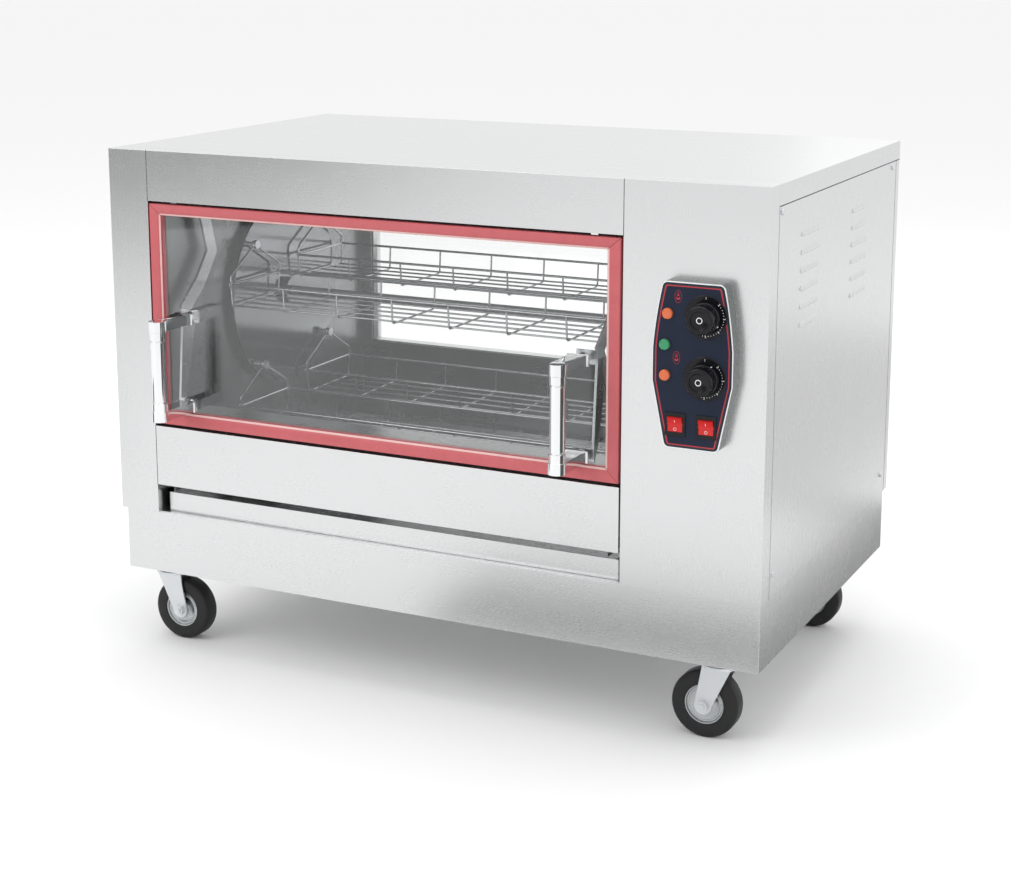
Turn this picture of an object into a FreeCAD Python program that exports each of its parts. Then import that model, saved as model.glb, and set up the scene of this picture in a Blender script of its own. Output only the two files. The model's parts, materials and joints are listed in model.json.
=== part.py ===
import FreeCAD, Part
import math
import os

# Free-standing chicken rotisserie on casters, millimetres, Z up.
# Origin: centre of the footprint box, on the floor. The door faces -Y, the controls are on the +X side.
# The cabinet's depth and height follow from the rotor with its baskets and the room kept around them.

# Cabinet
width = 1060.0
plinth_height = 100.0
sheet = 1.5
plinth_set_back = 8.0
plinth_side_set_back = 4.0
rear_set_back = 9.0
front_return = 32.0
left_column_width = 70.0
control_column_width = 207.0
header_height = 77.0
header_lip = 12.0
lip_notch_play = 2.0
top_flange = 29.0
rear_strip = 20.0
panel_gap = 1.0
lower_panel_gap = 2.5
bottom_flange = 28.0

# Chamber
liner = 1.0
left_flange = 22.0
right_flange = 25.0
roof_under = 30.0
roof_clearance = 77.4
rear_space = 35.0
rear_clearance = 58.1
sill_rise = 117.0
sill_depth = 99.0
sill_lip = 9.0
sill_clearance = 0.2
window_margin = 18.0
window_above_sill = 15.0
window_drop = 65.0
window_seal = 3.0
window_seal_width = 12.0
window_pane = 5.0
insulation_thickness = 24.0
insulation_foot = 20.0
bush_opening = 40.0
drive_opening_depth = 75.0
drive_opening_height = 65.0

# Heaters and lamp
heater_tube = 8.0
heater_collar = 16.0
heater_collar_inside = 4.0
heater_collar_outside = 6.0
heater_tail = 12.0
heater_end_gap = 40.0
lower_heater_rise = 13.0
upper_heater_drop = 45.0
lower_heater_inner = 75.0
lower_heater_outer = 135.0
upper_heater_inner = 35.0
upper_heater_outer = 95.0
clip_width = 6.0
clip_sheet = 1.5
clip_inset = 110.0
heater_bracket = 60.0
lamp_base = 70.0
lamp_ring = 62.0
lamp_dome = 52.0
lamp_inset = 120.0
lamp_rear_gap = 70.0
lamp_base_height = 6.0
lamp_ring_height = 6.0
lamp_dome_height = 10.0
lamp_dome_edge = 4.0

# Door
door_gap_top = 4.0
door_gap_bottom = 4.5
door_overlap = 5.0
door_gap_left = 2.0
door_gap_right = 4.0
door_thickness = 14.0
glass_thickness = 6.0
glass_set_back = 4.0
glass_edge_cover = 10.0
seal_side = 20.0
seal_top = 17.0
seal_bottom = 21.0
hinge_drop = 51.0
hinge_set_back = 14.0
hub_radius = 10.0
hinge_arm_width = 24.0
hinge_arm_thickness = 4.0
left_arm_inset = 37.0
right_arm_inset = 44.0
hinge_pin = 8.0
hinge_pin_end = 4.0
hinge_cheek = 2.5
hinge_cheek_half = 9.0
neck = ((0.0, 0.0), (40.0, 3.0), (66.0, -25.0), (80.0, -66.0))
elbow = ((94.0, 88.0), (60.0, 44.0), (14.0, 5.0))
lower_bolt_rise = 32.0
bolt_spacing = 138.0
bolt = 8.0
handle_offset = 19.0
handle_reach = 65.0
bar_diameter = 22.0
bar_core = 18.0
collar_diameter = 26.0
handle_arm_width = 22.0
handle_arm_height = 16.0
handle_arm_straight = 26.0
handle_arm_flare = 10.0
handle_foot = 34.0
handle_foot_height = 4.0
handle_foot_edge = 2.0
thread_depth = 16.0
spacer_diameter = 16.0
upper_spacer = 14.0
lower_spacer = 3.0
tab_sheet = 3.0
leg_shoulder = 16.0
leg_top = 8.0
leg_width = 34.0
leg_foot = 14.0
tab_half = 10.0
bolt_end = 3.0
nut_diameter = 13.0
nut_height = 7.0

# Rotor and baskets
disc_gap_left = 12.0
disc_gap_right = 17.0
disc_diameter = 315.0
disc_thickness = 3.0
shaft_diameter = 14.0
shaft_end_left = 14.0
shaft_in_gearbox = 40.0
hub_diameter = 42.0
hub_length = 12.0
pin_circle = 144.2
pin_phase = 5.1
pin_diameter = 8.0
pin_knob = 14.0
pin_knob_length = 4.0
pin_head = 1.5
fit_gap = 0.05
running_gap = 0.3
hanger_gap_left = 12.0
hanger_gap_right = 11.0
basket_width = 145.0
basket_bays = 7
basket_rows = 5
basket_floor_width = 135.0
rail_drop = 55.0
leg_drop = 40.5
basket_drop = 93.0
basket_ground = 34.9
frame_wire = 4.0
basket_wire = 3.0
floor_weave = 0.75
eye_wall = 3.0

# Drive
bush_wall = 4.0
bush_length = 12.0
bush_flange = 32.0
bush_flange_sheet = 3.0
gearbox_gap = 32.0
gearbox_length = 58.0
gearbox_half_depth = 45.0
gearbox_half_height = 40.0
gearbox_edge = 5.0
gearbox_bore_end = 2.0
motor_length = 62.0
motor_diameter = 68.0
motor_cap_length = 8.0
motor_cap_diameter = 58.0
post_diameter = 10.0
post_inset = 8.0

# Drip tray
tray_set_back = 17.0
tray_side_gap = 8.0
tray_rear_gap = 15.0
tray_height = 30.0
tray_sheet = 1.2
tray_roll = 6.0
tray_clearance = 2.7
tray_slot = 15.2

# Controls
box_reach = 24.0
box_wall = 2.0
plate_inset = 2.0
plate_sheet = 1.0
box_drop = 129.0
box_height = 227.8
box_offset = 110.2
box_top_width = 88.0
box_waist_width = 115.0
box_foot_width = 78.0
box_waist_drop = 91.0
box_waist_height = 45.0
box_corner = 9.0
box_bulge = 0.62
column_opening_inset = 8.0
dial_offset = 18.2
upper_dial_drop = 44.9
dial_spacing = 83.2
dial_ring = 60.0
knob_diameter = 40.0
knob_length = 27.0
knob_skirt_height = 7.0
knob_skirt_rim = 1.0
knob_edge = 2.0
knob_recess = 24.0
knob_recess_depth = 2.5
pointer_width = 2.4
pointer_rise = 2.5
pointer_root = 1.0
pointer_shift = 2.0
upper_knob_turn = 120.0
lower_knob_turn = 30.0
spindle = 6.0
spindle_play = 1.0
spindle_length = 14.0
thermostat_half_width = 20.0
thermostat_half_height = 16.0
thermostat_depth = 34.0
lamp_diameter = 15.0
lamp_stem = 12.0
lamp_rise = 5.0
lamp_edge = 3.0
lamp_depth = 20.0
lamp_offsets = ((-35.2, 43.7), (-38.7, 86.0), (-38.0, 127.7))
switch_rise = 33.8
left_switch_offset = 22.2
right_switch_offset = 21.8
switch_frame_width = 29.0
switch_frame_height = 32.0
switch_play = 0.2
terminal_sheet = 0.8
terminal_width = 6.0
terminal_length = 8.0
terminal_offset = 7.0
rocker_width = 20.6
rocker_radius = 10.3
rocker_tilt = 22.0
rocker_valley = 1.5
rocker_back = 5.0
rocker_stub = 3.0

# Casters
wheel_diameter = 100.0
wheel_width = 30.0
wheel_hub = 58.0
hub_inset = 3.0
boss_wall = 6.0
boss_rise = 2.0
tyre_edge = 4.0
axle = 10.0
axle_end = 8.0
axle_nut = 17.0
axle_nut_height = 6.0
caster_trail = 20.0
left_caster_inset = 44.0
right_caster_inset = 80.0
front_caster_inset = 74.0
rear_caster_inset = 70.0
caster_plate = 3.0
caster_plate_half_width = 38.0
caster_plate_half_depth = 45.0
caster_bolt_x = 28.0
caster_bolt_y = 35.0
caster_bolt_head = 13.0
caster_bolt_height = 5.0
race_diameter = 50.0
race_height = 14.7
crown_gap = 8.0
crown_sheet = 4.0
crown_rim = 3.0
kingpin = 12.0
kingpin_head_rim = 4.0
kingpin_head_height = 3.0
fork_sheet = 2.5
fork_top_half = 22.0
fork_eye = 13.0
fork_heel = 14.0

# Screws, louvres and cable gland
screw_head = 9.0
screw_rise = 2.5
screw_edge = 1.2
screw_front_margin = 10.0
screw_rear_margin = 22.0
screw_foot_margin = 33.0
screw_top_margin = 7.5
louvre_length = 78.0
louvre_rows = 6
louvre_pitch = 25.4
louvre_drop = 79.0
louvre_front = 148.0
louvre_rear = 98.0
louvre_rise = 2.2
louvre_height = 9.0
gland_diameter = 22.0
gland_length = 18.0
gland_flange_rim = 3.0
gland_flange_height = 4.0
gland_wall = 6.0
gland_thread_wall = 3.0
gland_thread = 14.0
gland_inset = 110.0
gland_rise = 60.0

# Heights that follow, from the floor upwards
crown_bottom = wheel_diameter + crown_gap
race_bottom = crown_bottom + crown_sheet + running_gap
plinth_bottom = race_bottom + race_height + caster_plate
upper_bottom = plinth_bottom + plinth_height
tray_bottom = upper_bottom + running_gap
tray_top = tray_bottom + tray_height
wall_foot = tray_top + tray_clearance
lower_panel_bottom = tray_top + tray_slot
sill_level = wall_foot + sill_rise
door_bottom = sill_level - door_overlap
lower_panel_top = door_bottom - door_gap_bottom
rotor_height = wall_foot + basket_ground + basket_drop + pin_circle
chamber_roof = rotor_height + disc_diameter / 2 + roof_clearance
height = chamber_roof + roof_under
header_bottom = height - header_height
door_top = header_bottom - door_gap_top
hinge_height = height - hinge_drop
lower_bolt_height = door_bottom + lower_bolt_rise
upper_bolt_height = lower_bolt_height + bolt_spacing
window_bottom = sill_level + window_above_sill
window_top = chamber_roof - window_drop
box_top = height - box_drop
box_bottom = box_top - box_height
box_waist_top = box_top - box_waist_drop
box_waist_bottom = box_waist_top - box_waist_height
upper_dial_height = box_top - upper_dial_drop
lower_dial_height = upper_dial_height - dial_spacing
switch_height = box_bottom + switch_rise
louvre_top = height - louvre_drop
gland_height = upper_bottom + gland_rise

# Depths that follow, from the front backwards
seal_depth = door_thickness + running_gap
rotor_depth = seal_depth + sill_depth + sill_clearance + basket_width / 2 + pin_circle
depth = rotor_depth + pin_circle + basket_width / 2 + rear_clearance + rear_space
handle_front = handle_reach + collar_diameter / 2
front = handle_front - (handle_front + depth + gland_length) / 2
rear = front + depth
middle_y = (front + rear) / 2
rotor_y = front + rotor_depth
chamber_rear = rear - rear_space
seal_plane = front + seal_depth
hinge_y = front + hinge_set_back
glass_front = front + glass_set_back
glass_back = glass_front + glass_thickness
bar_y = front - handle_reach
thread_start = glass_front - thread_depth
control_front = front - box_reach
plate_front = control_front - plate_sheet
knob_seat = plate_front - running_gap
tray_front = front + tray_set_back
tray_back = chamber_rear - tray_rear_gap
side_seam = front + front_return + panel_gap
side_panel_rear = rear - rear_strip - panel_gap
front_caster_y = front + front_caster_inset
rear_caster_y = rear - rear_caster_inset

# Places across the width that follow
side = width / 2
left_joint = -side + left_column_width
right_joint = side - control_column_width
chamber_left = left_joint + left_flange
chamber_right = right_joint - right_flange
door_left = left_joint + door_gap_left
door_right = right_joint - door_gap_right
left_arm_x = door_left + left_arm_inset
right_arm_x = door_right - right_arm_inset
handle_left_x = left_arm_x + handle_offset
handle_right_x = right_arm_x - handle_offset
window_left = chamber_left + window_margin
window_right = chamber_right - window_margin
disc_left_x = chamber_left + disc_gap_left
disc_right_x = chamber_right - disc_gap_right
basket_left_x = disc_left_x + hanger_gap_left
basket_right_x = disc_right_x - hanger_gap_right
tray_left = left_joint + tray_side_gap
tray_right = right_joint - tray_side_gap
box_centre_x = right_joint + box_offset
dial_x = box_centre_x + dial_offset
left_switch_x = box_centre_x - left_switch_offset
right_switch_x = box_centre_x + right_switch_offset
left_caster_x = -side + left_caster_inset
right_caster_x = side - right_caster_inset
gland_x = side - gland_inset
bush_body = shaft_diameter + 2 * bush_wall
gearbox_left = chamber_right + liner + gearbox_gap
knob_skirt = knob_diameter + 2 * knob_skirt_rim
V = FreeCAD.Vector


def box(x0, x1, y0, y1, z0, z1):
    return Part.makeBox(x1 - x0, y1 - y0, z1 - z0, V(x0, y0, z0))


def rod(start, end, diameter):
    run = V(*end) - V(*start)
    return Part.makeCylinder(diameter / 2, run.Length, V(*start), run)


def tube(start, end, outer, inner):
    return rod(start, end, outer).cut(rod(start, end, inner))


def ball(centre, diameter):
    return Part.makeSphere(diameter / 2, V(*centre))


def joined(shapes):
    whole = shapes[0]
    if len(shapes) > 1:
        whole = shapes[0].multiFuse(shapes[1:])
    return whole.removeSplitter()


def prism(points, push):
    # closed outline of 3D points, pushed along a vector
    wire = Part.makePolygon([V(*point) for point in points] + [V(*points[0])])
    return Part.Face(wire).extrude(V(*push))


def turned(shape, centre, axis, angle):
    copy = shape.copy()
    copy.rotate(V(*centre), V(*axis), angle)
    return copy


def shifted(shape, x, y, z):
    copy = shape.copy()
    copy.translate(V(x, y, z))
    return copy


def save(name, shapes):
    solids = []
    for shape in shapes:
        solids.extend(shape.Solids)
    Part.makeCompound(solids).exportStep("parts/" + name + ".step")
    print(name, len(solids), round(sum(solid.Volume for solid in solids) / 1000.0, 1))


# Cabinet shell

def plinth():
    x = side - plinth_side_set_back
    y0 = front + plinth_set_back
    y1 = rear - rear_set_back
    deck = upper_bottom - sheet
    outer = box(-x, x, y0, y1, plinth_bottom, deck)
    inner = box(-x + sheet, x - sheet, y0 + sheet, y1 - sheet, plinth_bottom + sheet, deck)
    save("plinth", [outer.cut(inner)])
    save("base_deck", [box(-x, x, y0, y1, deck, upper_bottom)])


def folded_column(x0, x1, opening=None):
    outer = box(x0, x1, front, front + front_return, upper_bottom, height)
    inner = box(x0 + sheet, x1 - sheet, front + sheet, front + front_return,
                upper_bottom + sheet, height - sheet)
    column = outer.cut(inner)
    if opening:
        column = column.cut(opening)
    return column


def control_outline(inset, y, push):
    # barrel outline of the control box: arcs for the upper flanks, straight lower flanks, rounded corners
    top = box_top - inset
    foot = box_bottom + inset
    half_top = box_top_width / 2 - inset
    half_waist = box_waist_width / 2 - inset
    half_foot = box_foot_width / 2 - inset
    centre = box_centre_x
    bulge = half_top + (half_waist - half_top) * box_bulge
    middle = (top + box_waist_top) / 2

    def edge(x0, z0, x1, z1):
        return Part.LineSegment(V(x0, y, z0), V(x1, y, z1)).toShape()

    def flank(sign):
        start = V(centre + sign * half_top, y, top)
        through = V(centre + sign * bulge, y, middle)
        end = V(centre + sign * half_waist, y, box_waist_top)
        return Part.Arc(start, through, end).toShape()

    edges = [
        edge(centre - half_top, top, centre + half_top, top),
        flank(1),
        edge(centre + half_waist, box_waist_top, centre + half_waist, box_waist_bottom),
        edge(centre + half_waist, box_waist_bottom, centre + half_foot, foot),
        edge(centre + half_foot, foot, centre - half_foot, foot),
        edge(centre - half_foot, foot, centre - half_waist, box_waist_bottom),
        edge(centre - half_waist, box_waist_bottom, centre - half_waist, box_waist_top),
        flank(-1),
    ]
    face = Part.Face(Part.Wire(Part.__sortEdges__(edges)))
    solid = face.extrude(V(0, push, 0))
    straight = [e for e in solid.Edges if e.BoundBox.XLength < 1e-6]
    upright = [e for e in straight if abs(e.BoundBox.YLength - abs(push)) < 1e-6]
    corners = [e for e in upright if e.BoundBox.ZMax > top - 1 or e.BoundBox.ZMin < foot + 1]
    return solid.makeFillet(max(box_corner - inset, 1.0), corners)


def front_frame():
    save("left_column", [folded_column(-side, left_joint)])
    opening = control_outline(column_opening_inset, front - 1, front_return)
    save("control_column", [folded_column(right_joint, side, opening)])
    face = box(left_joint, right_joint, front, front + sheet, header_bottom, height)
    top = box(left_joint, right_joint, front, front + front_return, height - sheet, height)
    lip = box(left_joint, right_joint, front, front + header_lip, header_bottom, header_bottom + sheet)
    notches = []
    for x in (left_arm_x, right_arm_x):
        half = hinge_arm_thickness / 2 + lip_notch_play
        notches.append(box(x - half, x + half, front + sheet, front + header_lip,
                           header_bottom, header_bottom + sheet))
    save("header", [joined([face, top, lip.cut(Part.makeCompound(notches))])])
    x1 = right_joint - lower_panel_gap
    panel = box(left_joint, x1, front, front + header_lip, lower_panel_bottom, lower_panel_top)
    hollow = box(left_joint, x1, front + sheet, front + header_lip,
                 lower_panel_bottom + sheet, lower_panel_top - sheet)
    save("lower_front_panel", [panel.cut(hollow)])


def covers():
    seam = side_seam
    flange_bottom = height - top_flange
    outer = box(-side, side, seam, rear, flange_bottom, height)
    inner = box(-side + sheet, side - sheet, seam, rear - sheet, flange_bottom, height - sheet)
    save("top_cover", [outer.cut(inner)])
    panel_rear = side_panel_rear
    for name, sign in (("left_side_panel", -1), ("right_side_panel", 1)):
        x0, x1 = sorted((sign * side, sign * (side - sheet)))
        skin = box(x0, x1, seam, panel_rear, upper_bottom, flange_bottom - panel_gap)
        f0, f1 = sorted((sign * side, sign * (side - bottom_flange)))
        flange = box(f0, f1, seam, panel_rear, upper_bottom, upper_bottom + sheet)
        shapes = [skin, flange]
        if sign > 0:
            for y in (middle_y - louvre_front, middle_y + louvre_rear):
                shapes.extend(louvre(y, row) for row in range(louvre_rows))
        save(name, [joined(shapes)])


def louvre(y, row):
    # shallow pressed hood, steep at the top and open slope below
    z = louvre_top - row * louvre_pitch
    half = louvre_length / 2
    outline = [(side, y - half, z + louvre_height / 2), (side + louvre_rise, y - half, z - louvre_height / 4),
               (side, y - half, z - louvre_height / 2)]
    return prism(outline, (0, louvre_length, 0))


def window_strips(x0, x1, z0, z1, y0, y1):
    # a wall with the window opening, made of four strips
    return [
        box(x0, window_left, y0, y1, z0, z1),
        box(window_right, x1, y0, y1, z0, z1),
        box(window_left, window_right, y0, y1, z0, window_bottom),
        box(window_left, window_right, y0, y1, window_top, z1),
    ]


def rear_wall():
    inside = side - sheet
    roof = height - sheet
    strips = window_strips(-inside, inside, upper_bottom, roof, rear - 2 * sheet, rear - sheet)
    lips = []
    for sign in (-1, 1):
        x0, x1 = sorted((sign * inside, sign * side))
        lips.append(box(x0, x1, rear - rear_strip, rear - sheet,
                        upper_bottom, height - top_flange - panel_gap))
    clamp = chamber_rear + liner + window_seal + window_pane
    returns = [
        box(window_left - sheet, window_left, clamp, rear - 2 * sheet, window_bottom, window_top),
        box(window_right, window_right + sheet, clamp, rear - 2 * sheet, window_bottom, window_top),
        box(window_left, window_right, clamp, rear - 2 * sheet, window_bottom - sheet, window_bottom),
        box(window_left, window_right, clamp, rear - 2 * sheet, window_top, window_top + sheet),
    ]
    left = joined([strips[0], lips[0], returns[0]])
    right = joined([strips[1], lips[1], returns[1]])
    gland_hole = rod((gland_x, rear - rear_strip, gland_height), (gland_x, rear + 1, gland_height),
                     gland_diameter - 2 * gland_thread_wall)
    right = right.cut(gland_hole)
    save("rear_panel", [left, right, joined([strips[2], returns[2]]), joined([strips[3], returns[3]])])


# Chamber

def chamber():
    floor_y = chamber_rear
    left_wall = box(chamber_left - liner, chamber_left, seal_plane, floor_y, wall_foot, chamber_roof)
    face_back = seal_plane + liner
    face_foot = sill_level - sill_lip
    left_face = box(left_joint, chamber_left, seal_plane, face_back, face_foot, chamber_roof)
    bore = rod((chamber_left - liner, rotor_y, rotor_height), (chamber_left, rotor_y, rotor_height),
               bush_body)
    save("chamber_left_wall", [joined([left_wall, left_face]).cut(bore)])
    right_wall = box(chamber_right, chamber_right + liner, seal_plane, floor_y, wall_foot, chamber_roof)
    right_face = box(chamber_right, right_joint, seal_plane, face_back, face_foot, chamber_roof)
    bore = rod((chamber_right, rotor_y, rotor_height), (chamber_right + liner, rotor_y, rotor_height),
               bush_body)
    holes = [bore]
    for x, y, z in heater_feet():
        holes.append(rod((x - 1, y, z), (x + liner + 1, y, z), heater_tube + 2))
    save("chamber_right_wall", [joined([right_wall, right_face]).cut(Part.makeCompound(holes))])
    roof_front = front + front_return
    outer_left = chamber_left - liner
    outer_right = chamber_right + liner
    roof_top = chamber_roof + liner
    save("chamber_roof", [box(outer_left, outer_right, roof_front, chamber_rear, chamber_roof, roof_top)])
    strips = window_strips(outer_left, outer_right, wall_foot, roof_top, chamber_rear, chamber_rear + liner)
    save("chamber_rear_wall", strips)
    back = seal_plane + sill_depth
    face = box(chamber_left, chamber_right, seal_plane, face_back, face_foot, sill_level)
    ledge = box(chamber_left, chamber_right, seal_plane, back, sill_level - liner, sill_level)
    apron = box(chamber_left, chamber_right, back - liner, back, wall_foot, sill_level)
    save("front_sill", [joined([face, ledge, apron])])


def rear_window():
    y0 = chamber_rear + liner
    x0 = window_left - window_seal_width
    x1 = window_right + window_seal_width
    z0 = window_bottom - window_seal_width
    z1 = window_top + window_seal_width
    y1 = y0 + window_seal
    save("rear_window_seal", [
        box(x0, window_left, y0, y1, z0, z1),
        box(window_right, x1, y0, y1, z0, z1),
        box(window_left, window_right, y0, y1, z0, window_bottom),
        box(window_left, window_right, y0, y1, window_top, z1),
    ])
    save("rear_window_glass", [box(x0, x1, y1, y1 + window_pane, z0, z1)])


def insulation():
    thickness = insulation_thickness
    y0 = seal_plane + front_return
    y1 = chamber_rear
    z0 = wall_foot + insulation_foot
    left = box(chamber_left - liner - thickness, chamber_left - liner, y0, y1, z0, chamber_roof)
    around = box(chamber_left - liner - thickness, chamber_left,
                 rotor_y - bush_opening, rotor_y + bush_opening,
                 rotor_height - bush_opening, rotor_height + bush_opening)
    right = box(chamber_right + liner, chamber_right + liner + thickness, y0, y1, z0, chamber_roof)
    opening = box(chamber_right, chamber_right + liner + thickness,
                  rotor_y - drive_opening_depth, rotor_y + drive_opening_depth,
                  rotor_height - drive_opening_height, rotor_height + drive_opening_height)
    feet = [opening]
    for x, y, z in heater_feet():
        feet.append(rod((x, y, z), (x + liner + thickness + 1, y, z), 2 * heater_collar))
    top = box(chamber_left, chamber_right, y0, y1, chamber_roof + liner, chamber_roof + liner + thickness)
    save("insulation", [left.cut(around), right.cut(Part.makeCompound(feet)), top])


def heater_rows():
    # height and the two centre lines of each U-shaped element
    low = wall_foot + lower_heater_rise
    high = chamber_roof - upper_heater_drop
    rows = []
    pairs = ((low, lower_heater_inner, lower_heater_outer), (high, upper_heater_inner, upper_heater_outer))
    for z, inner, outer in pairs:
        rows.append((z, rotor_y - outer, rotor_y - inner))
        rows.append((z, rotor_y + inner, rotor_y + outer))
    return rows


def heater_feet():
    return [(chamber_right, y, z) for z, y0, y1 in heater_rows() for y in (y0, y1)]


def heater(row):
    z, y0, y1 = row
    end = chamber_left + heater_end_gap
    radius = (y1 - y0) / 2
    start = chamber_right + liner + heater_tail
    bend = Part.makeTorus(radius, heater_tube / 2, V(end + radius, (y0 + y1) / 2, z), V(0, 0, 1))
    half = box(end - heater_tube, end + radius, y0 - heater_tube, y1 + heater_tube,
               z - heater_tube, z + heater_tube)
    legs = [rod((start, y, z), (end + radius, y, z), heater_tube) for y in (y0, y1)]
    element = joined([bend.common(half)] + legs)
    feet = []
    for y in (y0, y1):
        inner_end = chamber_right - heater_collar_inside
        inner = tube((inner_end, y, z), (chamber_right, y, z), heater_collar, heater_tube)
        outer_end = chamber_right + liner + heater_collar_outside
        outer = tube((chamber_right + liner, y, z), (outer_end, y, z), heater_collar, heater_tube)
        feet.extend([inner, outer])
    return [element] + feet


def heater_clip(row, x):
    # straps that hang both legs of an upper element from the roof
    z, y0, y1 = row
    half = clip_width / 2
    clips = []
    for y in (y0, y1):
        ring = tube((x - half, y, z), (x + half, y, z), heater_tube + 2 * clip_sheet, heater_tube)
        stem_foot = z + heater_tube / 2 + clip_sheet / 2
        stem = box(x - half, x + half, y - clip_sheet / 2, y + clip_sheet / 2, stem_foot, chamber_roof)
        clips.append(joined([ring, stem]))
    return clips


def heaters():
    rows = heater_rows()
    lower = [part for row in rows[:2] for part in heater(row)]
    upper = [part for row in rows[2:] for part in heater(row)]
    for row in rows[2:]:
        for x in (chamber_left + clip_inset, (chamber_left + chamber_right) / 2):
            upper.extend(heater_clip(row, x))
    # the lower elements rest at their far end on brackets from the left wall
    for z, y0, y1 in rows[:2]:
        under = z - heater_tube / 2
        f0 = y0 - clip_width
        f1 = y1 + clip_width
        arm = box(chamber_left, chamber_left + heater_bracket, f0, f1, under - clip_sheet, under)
        foot = box(chamber_left, chamber_left + clip_sheet, f0, f1, wall_foot, under - clip_sheet)
        lower.append(joined([arm, foot]))
    save("lower_heater", lower)
    save("upper_heater", upper)


def lamp():
    x = chamber_left + lamp_inset
    y = chamber_rear - lamp_rear_gap
    under = chamber_roof - lamp_base_height
    base = rod((x, y, under), (x, y, chamber_roof), lamp_base)
    ring = tube((x, y, under - lamp_ring_height), (x, y, under), lamp_ring, lamp_dome)
    dome_bottom = under - lamp_dome_height
    dome = rod((x, y, dome_bottom), (x, y, under), lamp_dome)
    rim = [e for e in dome.Edges if abs(e.BoundBox.ZMax - dome_bottom) < 0.01]
    dome = dome.makeFillet(lamp_dome_edge, rim)
    save("chamber_lamp", [base, ring, dome])


def drive():
    wall = chamber_right + liner
    gear_x1 = gearbox_left + gearbox_length
    gearbox = box(gearbox_left, gear_x1, rotor_y - gearbox_half_depth, rotor_y + gearbox_half_depth,
                  rotor_height - gearbox_half_height, rotor_height + gearbox_half_height)
    long_edges = [e for e in gearbox.Edges if e.BoundBox.XLength > gearbox_length - 1]
    gearbox = gearbox.makeFillet(gearbox_edge, long_edges)
    bore_end = gearbox_left + shaft_in_gearbox + gearbox_bore_end
    bore = rod((gearbox_left - 1, rotor_y, rotor_height), (bore_end, rotor_y, rotor_height),
               shaft_diameter + 2 * fit_gap)
    motor_end = gear_x1 + motor_length
    cap_end = motor_end + motor_cap_length
    motor = rod((gear_x1, rotor_y, rotor_height), (motor_end, rotor_y, rotor_height), motor_diameter)
    cap = rod((motor_end, rotor_y, rotor_height), (cap_end, rotor_y, rotor_height), motor_cap_diameter)
    posts = []
    for sign_y in (-1, 1):
        for sign_z in (-1, 1):
            y = rotor_y + sign_y * (gearbox_half_depth - post_inset)
            z = rotor_height + sign_z * (gearbox_half_height - post_inset)
            posts.append(rod((wall, y, z), (gearbox_left, y, z), post_diameter))
    save("gear_motor", [gearbox.cut(bore), joined([motor, cap])] + posts)
    bushes = []
    for x, way in ((chamber_left, -1), (chamber_right, 1)):
        inner = x - way * bush_flange_sheet
        outer = x + way * bush_length
        flange = rod((x, rotor_y, rotor_height), (inner, rotor_y, rotor_height), bush_flange)
        body = rod((x, rotor_y, rotor_height), (outer, rotor_y, rotor_height), bush_body)
        hole = rod((inner - way, rotor_y, rotor_height), (outer + way, rotor_y, rotor_height),
                   shaft_diameter + 2 * fit_gap)
        bushes.append(joined([flange, body]).cut(hole))
    save("shaft_bushes", bushes)


def hinge_brackets():
    # a pair of cheeks under the header top carries each hinge pin
    brackets = []
    for x in (left_arm_x, right_arm_x):
        half = hinge_arm_thickness / 2 + running_gap
        pin_end = half + hinge_pin_end
        pin = rod((x - pin_end, hinge_y, hinge_height), (x + pin_end, hinge_y, hinge_height), hinge_pin)
        for sign in (-1, 1):
            x0, x1 = sorted((x + sign * half, x + sign * (half + hinge_cheek)))
            cheek = box(x0, x1, front + sheet, hinge_y + hinge_cheek_half, hinge_height - hinge_cheek_half,
                        height - sheet)
            brackets.append(cheek.cut(pin))
        brackets.append(pin)
    save("hinge_brackets", brackets)


# Door

def door_bolts_places():
    for x in (handle_left_x, handle_right_x):
        for z in (upper_bolt_height, lower_bolt_height):
            yield x, z


def door():
    glass_x0 = door_left + seal_side - glass_edge_cover
    glass_x1 = door_right - seal_side + glass_edge_cover
    glass_z0 = door_bottom + seal_bottom - glass_edge_cover
    glass_z1 = door_top - seal_top + glass_edge_cover
    pane = box(glass_x0, glass_x1, glass_front, glass_back, glass_z0, glass_z1)
    holes = [rod((x, glass_front, z), (x, glass_back, z), bolt) for x, z in door_bolts_places()]
    save("door_glass", [pane.cut(Part.makeCompound(holes))])
    x0, x1 = door_left, door_right
    z0, z1 = door_bottom, door_top
    xi0, xi1 = x0 + seal_side, x1 - seal_side
    zi0, zi1 = z0 + seal_bottom, z1 - seal_top
    outlines = (
        ((x0, z0), (xi0, zi0), (xi0, zi1), (x0, z1)),
        ((x1, z0), (x1, z1), (xi1, zi1), (xi1, zi0)),
        ((x0, z0), (x1, z0), (xi1, zi0), (xi0, zi0)),
        ((x0, z1), (xi0, zi1), (xi1, zi1), (x1, z1)),
    )
    strips = []
    for outline in outlines:
        strip = prism([(x, front, z) for x, z in outline], (0, door_thickness, 0))
        strips.append(strip.cut(pane))
    save("door_seal", strips)


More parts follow.
